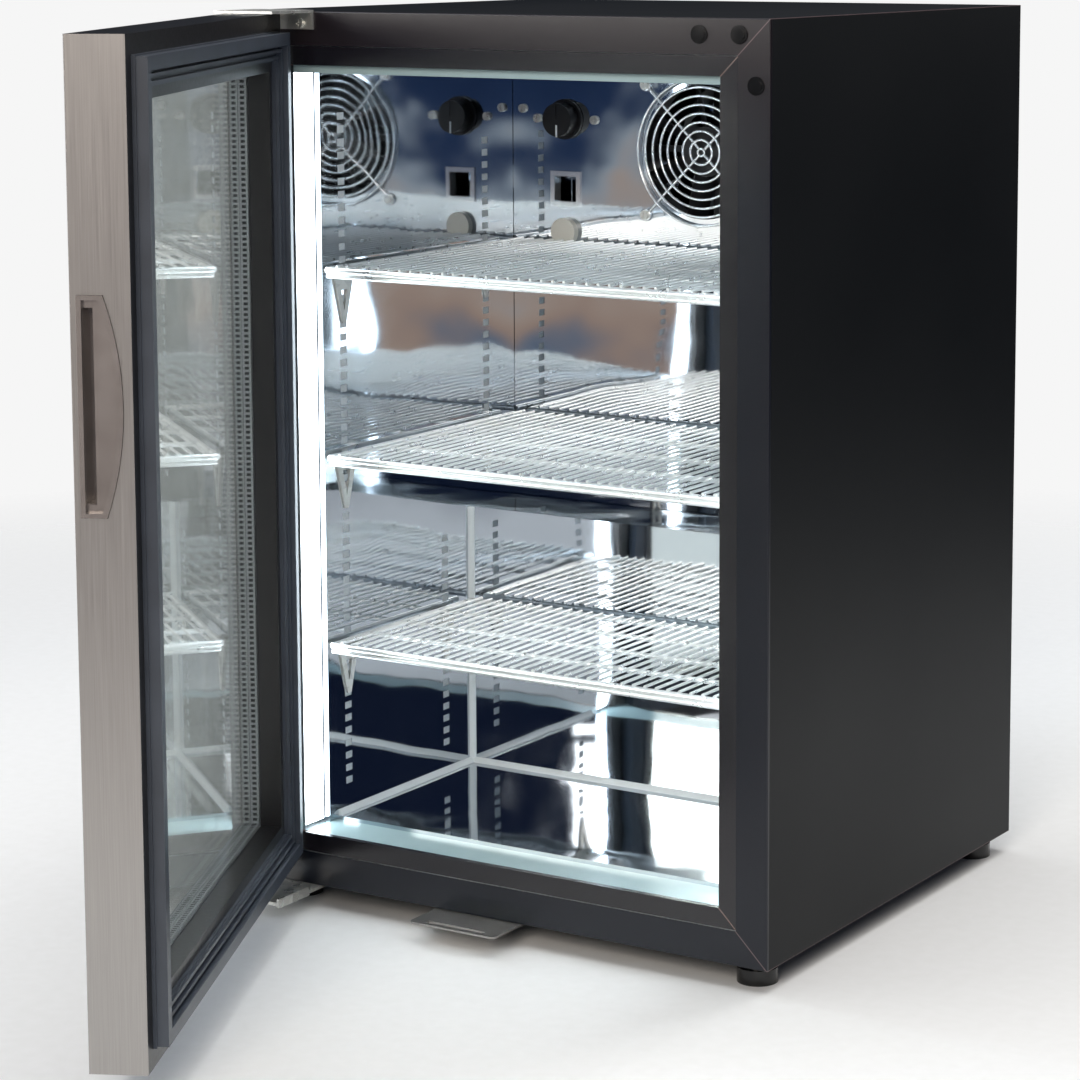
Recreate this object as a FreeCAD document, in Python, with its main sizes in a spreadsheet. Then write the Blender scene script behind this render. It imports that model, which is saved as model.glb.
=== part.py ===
"""Glass door merchandiser: a small under-counter cooler with one hinged, triple-glazed door.

The cabinet stands on the plane Z = 0 with its door side facing -Y.  Cabinet pieces are drawn with
Y = 0 on the front face of the cabinet, and door pieces are drawn with the door shut.  A placement
then carries each piece into the row's frame, and swings the door pieces open about the hinge.
"""
import FreeCAD, Part

import math
import os
import re

from FreeCAD import Placement, Rotation, Vector

DIMENSIONS = {
    # cabinet shell
    "width": 450.0,
    "depth": 407.0,
    "foot_height": 17.0,
    "shell_height": 669.0,
    "skin": 1.0,
    "front_flange": 25.4,
    "rear_flange": 14.0,
    "front_shift": 10.0,
    # inner trim round the opening
    "trim_start": 25.9,
    "trim_end": 40.0,
    "trim_set_back": 1.2,
    "trim_gauge": 1.0,
    "trim_lip": 6.0,
    "sill_depth": 42.0,
    # stainless liner
    "liner_gauge": 0.6,
    "liner_half": 181.8,
    "recess_half": 197.4,
    "recess_depth": 33.0,
    "floor_level": 60.0,
    "ceiling_level": 648.0,
    "hump_front": 229.6,
    "hump_level": 275.0,
    "liner_back": 342.0,
    # shelf slots in the side walls
    "slot_depth": 8.5,
    "slot_height": 5.5,
    "slot_pitch": 10.0,
    "slot_column_front": 59.0,
    "slot_column_middle": 192.6,
    "slot_column_rear": 254.8,
    # evaporator cover, fan and guard
    "cover_front": 297.0,
    "cover_gauge": 0.8,
    "fan_level": 568.8,
    "fan_hole": 54.0,
    "fan_frame": 120.0,
    "fan_frame_depth": 25.0,
    "fan_bore": 57.5,
    "fan_blade_tip": 55.5,
    "fan_hub": 20.0,
    "fan_shaft": 2.0,
    "blade_width": 18.0,
    "blade_gauge": 1.6,
    "running_gap": 0.05,
    "guard_pitch": 7.0,
    "guard_wire": 1.1,
    "guard_screw": 52.5,
    # thermostat and cover fittings
    "knob_across": -129.5,
    "knob_level": 591.3,
    "knob_size": 15.0,
    "knob_length": 15.0,
    "port_across": -129.7,
    "port_level": 534.0,
    "port_half": 12.0,
    "plug_level": 498.7,
    "plug_size": 11.5,
    # light bars
    "light_inner": 186.2,
    "light_front": 6.5,
    "light_rear": 32.0,
    "lens_gauge": 0.8,
    # shelves
    "shelf_half": 177.0,
    "shelf_front": 28.0,
    "shelf_rear": 287.0,
    "shelf_rear_low": 222.0,
    "shelf_rim_wire": 2.5,
    "shelf_cross_wire": 2.0,
    "shelf_long_wire": 1.15,
    "shelf_wire_pitch": 9.7,
    "shelf_level_top": 489.5,
    "shelf_level_middle": 345.0,
    "shelf_level_bottom": 198.5,
    # door
    "door_thick": 38.3,
    "door_gap": 12.0,
    "door_low": 32.0,
    "door_tall": 652.5,
    "door_band": 44.0,
    "door_skin": 1.0,
    "glass_edge": 34.0,
    "glass_gauge": 3.0,
    "glass_space": 6.0,
    "spacer_band": 8.0,
    "aperture": 42.0,
    "gasket_start": 13.0,
    "gasket_end": 34.0,
    # hinge
    "pivot_inset": 24.0,
    "pivot_ahead": 38.0,
    "hinge_pin": 4.0,
    "hinge_plate": 2.0,
    "bush_size": 7.0,
    "bush_depth": 12.0,
    "door_open": 64.2,
    # handle recess in the free edge of the door
    "handle_low": 388.0,
    "handle_tall": 138.0,
    "handle_front": -46.0,
    "handle_narrow": 16.5,
    "handle_bulge": 11.5,
    "handle_well": 22.0,
    "finger_slot_front": -42.9,
    "finger_slot_wide": 6.2,
    "finger_slot_tall": 122.0,
    # lock
    "lock_across": -20.5,
    "lock_level": 46.0,
    "lock_core": 6.0,
    "tongue_reach": 36.0,
    "tongue_half": 5.5,
    "tongue_gauge": 2.4,
    "tongue_front": -31.4,
    "strike_half": 38.0,
    "strike_ahead": 36.0,
    "strike_gauge": 1.5,
    # feet
    "foot_size": 15.0,
    "foot_inset_side": 22.0,
    "foot_inset_front": 26.0,
    "foot_inset_rear": 24.0,
    # machine compartment
    "bay_half": 190.0,
    "bay_front": 262.0,
    "bay_top": 243.0,
    "insulation_front": 2.4,
}

sheet_words = re.compile(r"\b(" + "|".join(sorted(DIMENSIONS, key=len, reverse=True)) + r")\b")
sub_parts = []


def expression(words):
    """Turns 'width / 2 - skin' into an expression on the sheet's aliases."""
    return sheet_words.sub(r"Dims.\1", str(words))


def value(words):
    """The same words worked out as a number, for the few places where a property can't be bound."""
    return float(dims.evalExpression(expression(words)))


def make_sheet(doc):
    """The driving dimensions, in millimetres and degrees, one alias to a cell."""
    sheet = doc.addObject("Spreadsheet::Sheet", "Dims")
    for row, (alias, size) in enumerate(DIMENSIONS.items(), start=1):
        sheet.set(f"A{row}", alias)
        sheet.set(f"B{row}", str(size))
        sheet.setAlias(f"B{row}", alias)
    doc.recompute()
    return sheet


doc = FreeCAD.newDocument("merchandiser")
dims = make_sheet(doc)

front_shift = Placement(Vector(0, value("front_shift"), 0), Rotation())
pivot = Vector(value("pivot_inset - width / 2"), value("0 - pivot_ahead"), 0)
swing = Placement(Vector(0, 0, 0), Rotation(Vector(0, 0, 1), -value("door_open")), pivot)
door_place = front_shift.multiply(swing)


# ---------------------------------------------------------------- shapes shared by many sub-parts

def box(name, x, y, z):
    """A block between two planes on each axis."""
    block = doc.addObject("Part::Box", name)
    for (low, high), size, axis in zip((x, y, z), ("Length", "Width", "Height"), "xyz"):
        block.setExpression(size, expression(f"({high}) - ({low})"))
        block.setExpression(f"Placement.Base.{axis}", expression(low))
    return block


def rod(name, centre, direction, length, radius):
    """A cylinder that starts at centre and runs along +X, +Y or +Z."""
    turns = {"x": Rotation(Vector(0, 1, 0), 90), "y": Rotation(Vector(1, 0, 0), -90), "z": Rotation()}
    cylinder = doc.addObject("Part::Cylinder", name)
    cylinder.Placement = Placement(Vector(), turns[direction])
    for place, axis in zip(centre, "xyz"):
        cylinder.setExpression(f"Placement.Base.{axis}", expression(place))
    cylinder.setExpression("Radius", expression(radius))
    cylinder.setExpression("Height", expression(length))
    return cylinder


def ring(name, centre, direction, radius, wire):
    """A torus round an axis along Y or Z."""
    turns = {"y": Rotation(Vector(1, 0, 0), 90), "z": Rotation()}
    torus = doc.addObject("Part::Torus", name)
    torus.Placement = Placement(Vector(), turns[direction])
    for place, axis in zip(centre, "xyz"):
        torus.setExpression(f"Placement.Base.{axis}", expression(place))
    torus.setExpression("Radius1", expression(radius))
    torus.setExpression("Radius2", expression(wire))
    return torus


def fuse(name, pieces):
    """One solid from overlapping pieces."""
    joined = doc.addObject("Part::MultiFuse", name)
    joined.Shapes = pieces
    joined.Refine = True
    return joined


def cut(name, base, tools):
    """The base with every tool taken away."""
    group = doc.addObject("Part::Compound", name + "_tools")
    group.Links = tools
    result = doc.addObject("Part::Cut", name)
    result.Base = base
    result.Tool = group
    return result


def sub_part(label, pieces, place):
    """A finished node: its solids, its file name and its place in the row's frame."""
    node = doc.addObject("Part::Compound", label)
    node.Links = pieces
    node.Label = label
    node.Placement = place
    sub_parts.append(node)
    return node


def round_edge(name, base, radius, near):
    """Rounds the straight edge of base whose middle is nearest to a point."""
    doc.recompute()
    gaps = [(edge.CenterOfMass - near).Length for edge in base.Shape.Edges]
    index = gaps.index(min(gaps)) + 1
    rounded = doc.addObject("Part::Fillet", name)
    rounded.Base = base
    rounded.Edges = [(index, radius, radius)]
    return rounded


def mitred_strip(name, run, inner, y):
    """A flat strip of a frame member, from one inset to another, with 45 degree ends.

    run is the frame's outer length along the member, inner the strip's two insets from the
    frame's outer edge, and y its two depths.
    """
    start, end = inner
    strip = doc.addObject("Part::Wedge", name)
    strip.Placement = Placement(Vector(), Rotation(Vector(1, 0, 0), 90))
    limits = {
        "Xmin": f"({start}) - ({run}) / 2", "Xmax": f"({run}) / 2 - ({start})",
        "X2min": f"({end}) - ({run}) / 2", "X2max": f"({run}) / 2 - ({end})",
        "Ymin": start, "Ymax": end,
        "Zmin": f"-({y[1]})", "Z2min": f"-({y[1]})",
        "Zmax": f"-({y[0]})", "Z2max": f"-({y[0]})",
    }
    for prop, words in limits.items():
        strip.setExpression(prop, expression(words))
    return strip


SIDES = {"bottom": 0.0, "right": -90.0, "top": 180.0, "left": 90.0}


def frame_member(label, side, across, tall, middle, strips, place, rounding=None, edit=None):
    """One mitred member of a rectangular frame: its strips joined, then turned to its side."""
    upright = side in ("left", "right")
    run, reach = (tall, across) if upright else (across, tall)
    flat = [mitred_strip(f"{label}_strip{n}", run, inner, y) for n, (inner, y) in enumerate(strips)]
    member = fuse(label + "_member", flat) if len(flat) > 1 else flat[0]
    if rounding:
        radius, depth = rounding
        member = round_edge(label + "_rounded", member, radius, Vector(0, depth, 0))
    turned = doc.addObject("Part::Compound", label + "_turned")
    turned.Links = [member]
    turn = Rotation(Vector(0, 1, 0), SIDES[side])
    offset = turn.multVec(Vector(0, 0, -value(reach) / 2))
    turned.Placement = Placement(Vector(0, 0, value(middle)) + offset, turn)
    finished = edit(turned) if edit else turned
    return sub_part(label, [finished], place)


# ---------------------------------------------------------------- cabinet shell

def make_shell():
    """Folded steel sheets: each has a mitred front flange, a flat skin and a rear flange."""
    strips = [
        (("0", "front_flange"), ("0", "skin")),
        (("0", "skin"), ("0", "depth")),
        (("0", "rear_flange"), ("depth - skin", "depth")),
    ]
    middle = "foot_height + shell_height / 2"
    names = {
        "left_side_panel": "left", "right_side_panel": "right", "top_panel": "top", "base_pan": "bottom",
    }
    for label, side in names.items():
        frame_member(label, side, "width", "shell_height", middle, strips, front_shift, (0.9, 0.0))


def make_back_panel():
    """The flat sheet screwed inside the rear flanges, above the machine grille."""
    low = "foot_height + rear_flange"
    panel = box(
        "back_sheet",
        ("rear_flange + 0.2 - width / 2", "width / 2 - rear_flange - 0.2"),
        ("depth - skin", "depth"),
        ("bay_top + 12", "foot_height + shell_height - rear_flange - 0.2"),
    )
    sub_part("back_panel", [panel], front_shift)
    grille = box(
        "grille_sheet",
        ("rear_flange + 0.2 - width / 2", "width / 2 - rear_flange - 0.2"),
        ("depth - skin", "depth"),
        (f"{low} + 0.2", "bay_top + 11.6"),
    )
    slots = []
    for row in range(12):
        for column in range(3):
            middle = (column - 1) * 110
            level = f"{low} + 34 + {row} * 14"
            slots.append(box(
                f"vent_{row}_{column}", (f"{middle - 46}", f"{middle + 46}"),
                ("depth - skin - 1", "depth + 1"), (level, f"{level} + 5"),
            ))
    slots.append(box("inlet_opening", (123, 147), ("depth - skin - 1", "depth + 1"), (47, 63)))
    sub_part("rear_grille", [cut("grille_cut", grille, slots)], front_shift)


def make_trim():
    """The inner frame round the opening: a front band and a short return, mitred at the corners."""
    band = (("trim_start", "trim_end"), ("trim_set_back", "trim_set_back + trim_gauge"))
    middle = "foot_height + shell_height / 2"
    lip = (("trim_end - trim_gauge", "trim_end"), ("trim_set_back", "trim_lip"))
    for side in SIDES:
        frame_member(f"trim_{side}", side, "width", "shell_height", middle, [band, lip], front_shift)


def make_breaker_strips():
    """Pale strips between the trim and the liner: a flat sill and a narrow upright header."""
    inside = ("trim_end - width / 2", "width / 2 - trim_end")
    sill = box("sill_strip", inside, ("trim_lip", "sill_depth"),
               ("foot_height + trim_end - trim_gauge", "foot_height + trim_end"))
    header = box("header_strip", inside, ("trim_lip", "trim_lip + trim_gauge"),
                 ("ceiling_level - 8", "ceiling_level"))
    sub_part("breaker_strips", [sill, header], front_shift)


def make_hole_plugs():
    """Push-in caps over the spare hinge holes on the side away from the door hinge."""
    plugs = []
    for number, (across, level) in enumerate(((169.1, 674.5), (200.7, 674.8), (214.0, 640.1))):
        base = rod(f"plug_rim{number}", (across, -0.9, level), "y", 0.9, 6.5)
        crown = rod(f"plug_crown{number}", (across, -1.5, level), "y", 1.1, 4.6)
        plugs.append(fuse(f"plug{number}", [base, crown]))
    sub_part("hinge_hole_plugs", plugs, front_shift)


# ---------------------------------------------------------------- liner and insulation

def slot_column(name, side, column, first, count):
    """A column of shelf slots through one side wall."""
    wall = ("liner_half - 1", "liner_half + liner_gauge + 1")
    across = wall if side > 0 else (f"-({wall[1]})", f"-({wall[0]})")
    slots = []
    for number in range(count):
        level = f"{first} + {number} * slot_pitch"
        slots.append(box(
            f"{name}_{number}", across,
            (f"{column} - slot_depth / 2", f"{column} + slot_depth / 2"),
            (level, f"{level} + slot_height"),
        ))
    return slots


def make_side_wall(label, side):
    """A polished side wall, joggled outwards at the front to seat the light bar."""
    def span(low, high):
        return (low, high) if side > 0 else (f"-({high})", f"-({low})")
    levels = ("foot_height + trim_end", "ceiling_level")
    wall = box(
        label + "_sheet", span("liner_half", "liner_half + liner_gauge"),
        ("recess_depth", "liner_back"), levels,
    )
    step = box(
        label + "_step", span("liner_half", "recess_half + liner_gauge"),
        ("recess_depth", "recess_depth + liner_gauge"), levels,
    )
    seat = box(
        label + "_seat", span("recess_half", "recess_half + liner_gauge"),
        ("trim_set_back + trim_gauge", "recess_depth + liner_gauge"), levels,
    )
    slots = slot_column(label + "_front", side, "slot_column_front", "82", 53)
    slots += slot_column(label + "_middle", side, "slot_column_middle", "82", 18)
    slots += slot_column(label + "_rear", side, "slot_column_rear", "292", 29)
    folded = fuse(label + "_folded", [wall, step, seat])
    sub_part(label, [cut(label + "_slotted", folded, slots)], front_shift)


def make_liner():
    """The mirror-finished inner tank, with a raised step over the machine compartment."""
    make_side_wall("liner_left_wall", -1)
    make_side_wall("liner_right_wall", 1)
    inside = ("0 - liner_half", "liner_half")
    floor = box(
        "floor_sheet", inside, ("sill_depth", "hump_front"),
        ("floor_level - liner_gauge", "floor_level"),
    )
    nose = box(
        "floor_nose", inside, ("sill_depth", "sill_depth + liner_gauge"),
        ("foot_height + trim_end", "floor_level"),
    )
    sub_part("liner_floor", [fuse("floor_folded", [floor, nose])], front_shift)
    ceiling = box(
        "ceiling_sheet", ("0 - recess_half - liner_gauge", "recess_half + liner_gauge"),
        ("trim_lip", "liner_back + liner_gauge"), ("ceiling_level", "ceiling_level + liner_gauge"),
    )
    sub_part("liner_ceiling", [ceiling], front_shift)
    rise = box(
        "hump_rise", inside, ("hump_front", "hump_front + liner_gauge"),
        ("floor_level - liner_gauge", "hump_level"),
    )
    ledge = box(
        "hump_ledge", inside, ("hump_front", "liner_back"), ("hump_level - liner_gauge", "hump_level"),
    )
    sub_part("liner_hump", [fuse("hump_folded", [rise, ledge])], front_shift)
    back = box(
        "liner_back_sheet", ("0 - liner_half - liner_gauge", "liner_half + liner_gauge"),
        ("liner_back", "liner_back + liner_gauge"), ("hump_level - liner_gauge", "ceiling_level"),
    )
    sub_part("liner_back_wall", [back], front_shift)


def make_insulation():
    """Foam poured between the shell and the liner, open at the front and round the machinery."""
    block = box(
        "foam_block", ("skin - width / 2", "width / 2 - skin"), ("insulation_front", "depth - skin"),
        ("foot_height + skin", "foot_height + shell_height - skin"),
    )
    outer_wall = "(liner_half + liner_gauge)"
    upper = box(
        "foam_upper", (f"0 - {outer_wall}", outer_wall), ("0", "liner_back + liner_gauge"),
        ("hump_level - liner_gauge", "ceiling_level + liner_gauge"),
    )
    lower = box(
        "foam_lower", (f"0 - {outer_wall}", outer_wall), ("0", "hump_front + liner_gauge"),
        ("floor_level - liner_gauge", "hump_level"),
    )
    recess = box(
        "foam_recess", ("0 - recess_half - liner_gauge", "recess_half + liner_gauge"),
        ("0", "recess_depth + liner_gauge"),
        ("foot_height + trim_end - trim_gauge", "ceiling_level + liner_gauge"),
    )
    ceiling = box(
        "foam_ceiling", ("0 - recess_half - liner_gauge", "recess_half + liner_gauge"),
        ("0", "liner_back + liner_gauge"), ("ceiling_level", "ceiling_level + liner_gauge"),
    )
    sill = box(
        "foam_sill", ("0 - width / 2 + trim_end - trim_gauge", "width / 2 - trim_end + trim_gauge"),
        ("0", "sill_depth + liner_gauge"), ("foot_height + trim_end - trim_gauge", "floor_level"),
    )
    machine = box(
        "foam_machine", ("0 - bay_half", "bay_half"), ("bay_front", "depth"), ("foot_height", "bay_top"),
    )
    walls = []
    for side, across in ((0, (f"0 - {outer_wall}", "0 - liner_half")), (1, ("liner_half", outer_wall))):
        walls.append(box(
            f"foam_wall{side}", across, ("recess_depth", "liner_back"),
            ("foot_height + trim_end", "ceiling_level"),
        ))
    tools = [upper, lower, recess, ceiling, sill, machine] + walls
    for side in (-1, 1):
        tools.append(rear_flange_pocket(side))
    tools.append(box(
        "foam_top_flange", ("0 - width / 2", "width / 2"), ("depth - 3", "depth"),
        ("foot_height + shell_height - rear_flange", "foot_height + shell_height"),
    ))
    sub_part("insulation", [cut("foam_cut", block, tools)], front_shift)


def rear_flange_pocket(side):
    """Room in the foam for the screws that pass through a rear flange."""
    near = ("width / 2 - rear_flange", "width / 2")
    across = near if side > 0 else (f"-({near[1]})", f"-({near[0]})")
    return box(
        f"foam_rear_flange{side + 1}", across, ("depth - 3", "depth"),
        ("foot_height", "foot_height + shell_height"),
    )


# ---------------------------------------------------------------- evaporator compartment

def make_evaporator_cover():
    """The polished sheet in front of the evaporator, with its fan hole and fittings' holes."""
    sheet = box(
        "cover_sheet", ("0.4 - liner_half", "liner_half - 0.4"), ("cover_front", "cover_front + cover_gauge"),
        ("hump_level + 0.4", "ceiling_level - 0.4"),
    )
    fan = rod("cover_fan_hole", (0, "cover_front - 1", "fan_level"), "y", 4, "fan_hole")
    knob = rod("cover_knob_hole", ("knob_across", "cover_front - 1", "knob_level"), "y", 4, 4.5)
    port = box(
        "cover_port", ("port_across - port_half", "port_across + port_half"),
        ("cover_front - 1", "cover_front + 3"), ("port_level - port_half", "port_level + port_half"),
    )
    plug = rod("cover_plug_hole", ("port_across", "cover_front - 1", "plug_level"), "y", 4, 7)
    sub_part("evaporator_cover", [cut("cover_cut", sheet, [fan, knob, port, plug])], front_shift)

    rim = box(
        "port_rim", ("port_across - port_half - 2.5", "port_across + port_half + 2.5"),
        ("cover_front - 1.5", "cover_front"),
        ("port_level - port_half - 2.5", "port_level + port_half + 2.5"),
    )
    sleeve = box(
        "port_sleeve", ("port_across - port_half + 0.1", "port_across + port_half - 0.1"),
        ("cover_front - 1.5", "cover_front + 8"),
        ("port_level - port_half + 0.1", "port_level + port_half - 0.1"),
    )
    hollow = box(
        "port_hollow", ("port_across - port_half + 1.6", "port_across + port_half - 1.6"),
        ("cover_front - 3", "cover_front + 9"),
        ("port_level - port_half + 1.6", "port_level + port_half - 1.6"),
    )
    bezel = cut("port_bezel", fuse("port_solid", [rim, sleeve]), [hollow])
    sub_part("return_air_bezel", [bezel], front_shift)

    cap = rod("cap_head", ("port_across", "cover_front - 6", "plug_level"), "y", 6, "plug_size")
    stem = rod("cap_stem", ("port_across", "cover_front - 1", "plug_level"), "y", 8, 6.8)
    sub_part("cover_hole_cap", [fuse("cap_solid", [cap, stem])], front_shift)


def make_fan_guard():
    """A chrome wire guard: nine rings welded to four diagonal arms that end in screw eyes."""
    depth = "cover_front - 2.9"
    rings = []
    for number in range(9):
        radius = f"59 - {number} * guard_pitch"
        rings.append(ring(f"guard_ring{number}", (0, depth, "fan_level"), "y", radius, "guard_wire"))
    arms = []
    for number in range(4):
        angle = math.radians(45 + 90 * number)
        arm = rod(f"guard_arm{number}", (0, 0, 0), "z", f"guard_screw * {math.sqrt(2):.5f} - 4.6 - 2", 1.3)
        direction = Vector(math.cos(angle), 0, math.sin(angle))
        start = Vector(0, value(depth) + 1.6, value("fan_level")) + direction * 2
        arm.setExpression("Placement.Base.x", None)
        arm.setExpression("Placement.Base.y", None)
        arm.setExpression("Placement.Base.z", None)
        arm.Placement = Placement(start, Rotation(Vector(0, 0, 1), direction))
        across = f"guard_screw * {round(direction.x * math.sqrt(2))}"
        level = f"fan_level + guard_screw * {round(direction.z * math.sqrt(2))}"
        arms += [arm, ring(f"guard_eye{number}", (across, f"{depth} + 1.6", level), "y", 4.0, 1.3)]
    sub_part("fan_guard", [fuse("guard_solid", rings + arms)], front_shift)


def pan_screw(name, across, depth, level, reach):
    """A pan-head screw driven along +Y, with its head standing in front of depth."""
    head = rod(name + "_head", (across, f"{depth} - 2.2", level), "y", 2.2, 3.6)
    shank = rod(name + "_shank", (across, f"{depth} - 1", level), "y", f"{reach} + 1", 1.8)
    sunk = (f"{depth} - 3", f"{depth} - 1.3")
    slot = box(name + "_slot_a", (f"{across} - 2", f"{across} + 2"), sunk,
               (f"{level} - 0.45", f"{level} + 0.45"))
    cross = box(name + "_slot_b", (f"{across} - 0.45", f"{across} + 0.45"), sunk,
                (f"{level} - 2", f"{level} + 2"))
    return cut(name, fuse(name + "_solid", [head, shank]), [slot, cross])


def make_fan():
    """A square axial fan behind the cover: frame, stator struts and a seven-blade rotor."""
    back = "cover_front + cover_gauge"
    half = "fan_frame / 2"
    shell = box("fan_shell", (f"0 - {half}", half), (back, f"{back} + fan_frame_depth"),
                (f"fan_level - {half}", f"fan_level + {half}"))
    bore = rod("fan_bore_hole", (0, f"{back} - 1", "fan_level"), "y", "fan_frame_depth + 2", "fan_bore")
    body = cut("fan_shell_bored", shell, [bore])
    rear = f"{back} + fan_frame_depth - 5"
    motor = rod("fan_motor", (0, f"{rear}", "fan_level"), "y", 5, "fan_hub")
    strut_depth = (f"{rear} + 1", f"{rear} + 5")
    reach = ("fan_bore + 1", "2.5")
    struts = [
        box("fan_strut_level", (f"0 - ({reach[0]})", reach[0]), strut_depth,
            (f"fan_level - {reach[1]}", f"fan_level + {reach[1]}")),
        box("fan_strut_upright", (f"0 - {reach[1]}", reach[1]), strut_depth,
            (f"fan_level - ({reach[0]})", f"fan_level + {reach[0]}")),
    ]
    bearing = rod("fan_bearing", (0, f"{rear} - 1", "fan_level"), "y", 7, "fan_shaft + running_gap")
    frame = cut("fan_frame_solid", fuse("fan_frame_joined", [body, motor] + struts), [bearing])
    sub_part("fan_frame", [frame], front_shift)

    hub = rod("rotor_hub", (0, f"{back} + 2.5", "fan_level"), "y", f"fan_frame_depth - 8.5", "fan_hub")
    shaft = rod("rotor_shaft", (0, f"{back} + 10", "fan_level"), "y", "fan_frame_depth - 11", "fan_shaft")
    blades = []
    middle = value(f"{back} + 2.5 + (fan_frame_depth - 8.5) / 2")
    for number in range(7):
        blade = doc.addObject("Part::Box", f"rotor_blade{number}")
        blade.setExpression("Length", expression("fan_blade_tip - fan_hub + 1"))
        blade.setExpression("Width", expression("blade_width"))
        blade.setExpression("Height", expression("blade_gauge"))
        corner = Vector(value("fan_hub") - 1, -value("blade_width") / 2, -value("blade_gauge") / 2)
        pitch = Placement(corner, Rotation())
        tilt = Placement(Vector(), Rotation(Vector(1, 0, 0), 38))
        spin = Rotation(Vector(0, 1, 0), number * 360.0 / 7)
        seat = Placement(Vector(0, middle, value("fan_level")), spin)
        blade.Placement = seat.multiply(tilt).multiply(pitch)
        blades.append(blade)
    sub_part("fan_rotor", [fuse("rotor_solid", [hub, shaft] + blades)], front_shift)


def make_evaporator():
    """A finned coil: upright aluminium fins on rows of tube between two end plates."""
    low, high = "hump_level + 12", "fan_level - fan_frame / 2 - 8"
    fins = []
    for number in range(23):
        across = -154 + number * 14
        fins.append(box(
            f"fin{number}", (f"{across}", f"{across} + 0.6"),
            ("cover_front + 8", "liner_back - 4"), (low, high),
        ))
    tubes = []
    for row in range(6):
        for bank in range(2):
            centre = ("0 - 162", f"cover_front + 15 + {bank} * 16", f"{low} + 16 + {row} * 34")
            tubes.append(rod(f"tube{row}_{bank}", centre, "x", 324, 3.5))
    sub_part("evaporator_coil", [fuse("coil_solid", fins + tubes)], front_shift)


def make_thermostat():
    """The control body behind the cover and the round knob in front of it."""
    body = box("control_body", ("knob_across - 18", "knob_across + 18"),
               ("cover_front + cover_gauge", "cover_front + 22"), ("knob_level - 14", "knob_level + 14"))
    bore = rod("control_bore", ("knob_across", "cover_front", "knob_level"), "y", 14, "3 + running_gap")
    sub_part("thermostat_body", [cut("control_solid", body, [bore])], front_shift)
    skirt = rod("knob_skirt", ("knob_across", "cover_front - 3.5", "knob_level"), "y", 3, "knob_size + 1.5")
    barrel = rod("knob_barrel", ("knob_across", "cover_front - knob_length", "knob_level"), "y",
                 "knob_length - 2", "knob_size - 1.5")
    stem = rod("knob_stem", ("knob_across", "cover_front - 3", "knob_level"), "y", 14, 3)
    mark = box("knob_mark", ("knob_across - 0.8", "knob_across + 0.8"),
               ("cover_front - knob_length - 1", "cover_front - knob_length + 0.8"),
               ("knob_level", "knob_level + knob_size - 2.5"))
    knob = cut("knob_solid", fuse("knob_joined", [skirt, barrel, stem]), [mark])
    sub_part("thermostat_knob", [knob], front_shift)


def make_light_bars():
    """A light bar down each side of the opening: an aluminium channel and a milky lens."""
    channels, lenses = [], []
    for side, tag in ((-1, "left"), (1, "right")):
        def span(low, high, side=side):
            return (low, high) if side > 0 else (f"-({high})", f"-({low})")
        levels = ("foot_height + trim_end + 3", "ceiling_level - 3")
        channels.append(box("channel_" + tag, span("light_inner + lens_gauge", "recess_half"),
                            ("light_front", "light_rear"), levels))
        lenses.append(box("lens_" + tag, span("light_inner", "light_inner + lens_gauge"),
                          ("light_front + 1", "light_rear - 1"), levels))
    sub_part("light_channels", channels, front_shift)
    sub_part("light_lenses", lenses, front_shift)


# ---------------------------------------------------------------- shelves

SHELVES = {
    "shelf_top": ("shelf_level_top", "shelf_rear", "slot_column_rear"),
    "shelf_middle": ("shelf_level_middle", "shelf_rear", "slot_column_rear"),
    "shelf_bottom": ("shelf_level_bottom", "shelf_rear_low", "slot_column_middle"),
}


def make_shelf(label, level, rear):
    """A welded wire shelf: a rim, a second front rod, cross rods and close-set long wires."""
    half = "(shelf_half - shelf_rim_wire)"
    first, last = "shelf_front + shelf_rim_wire", f"{rear} - shelf_rim_wire"
    run = f"({last}) - ({first})"
    rods = [
        rod(label + "_rim_front", (f"0 - {half}", first, level), "x", f"2 * ({half})", "shelf_rim_wire"),
        rod(label + "_rim_rear", (f"0 - {half}", last, level), "x", f"2 * ({half})", "shelf_rim_wire"),
        rod(label + "_rim_left", (f"0 - {half}", first, level), "y", run, "shelf_rim_wire"),
        rod(label + "_rim_right", (half, first, level), "y", run, "shelf_rim_wire"),
        rod(label + "_lower_front", (f"0 - {half}", f"{first} + 0.4", f"{level} - 4.2"), "x",
            f"2 * ({half})", "shelf_cross_wire"),
    ]
    for number in range(3):
        place = f"({first}) + ({run}) * {number + 1} / 4"
        rods.append(rod(f"{label}_cross{number}", (f"0 - {half}", place, f"{level} + 0.3"), "x",
                        f"2 * ({half})", "shelf_cross_wire"))
    for number in range(-17, 18):
        centre = (f"{number} * shelf_wire_pitch", f"({first}) - 1.2", f"{level} + shelf_rim_wire + 0.7")
        rods.append(rod(f"{label}_wire{number + 17}", centre, "y", f"({run}) + 2.4", "shelf_long_wire"))
    sub_part(label, [fuse(label + "_welded", rods)], front_shift)


def make_shelf_clips():
    """Four clips to a shelf, near the front and near the back of each side wall."""
    clips = []
    for label, (level, _, column_rear) in SHELVES.items():
        for side in (-1, 1):
            for place, column in (("front", "slot_column_front"), ("rear", column_rear)):
                name = f"clip_{label}_{place}{side + 1}"
                clips.append(make_clip(name, side, column, level))
    sub_part("shelf_clips", clips, front_shift)


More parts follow.
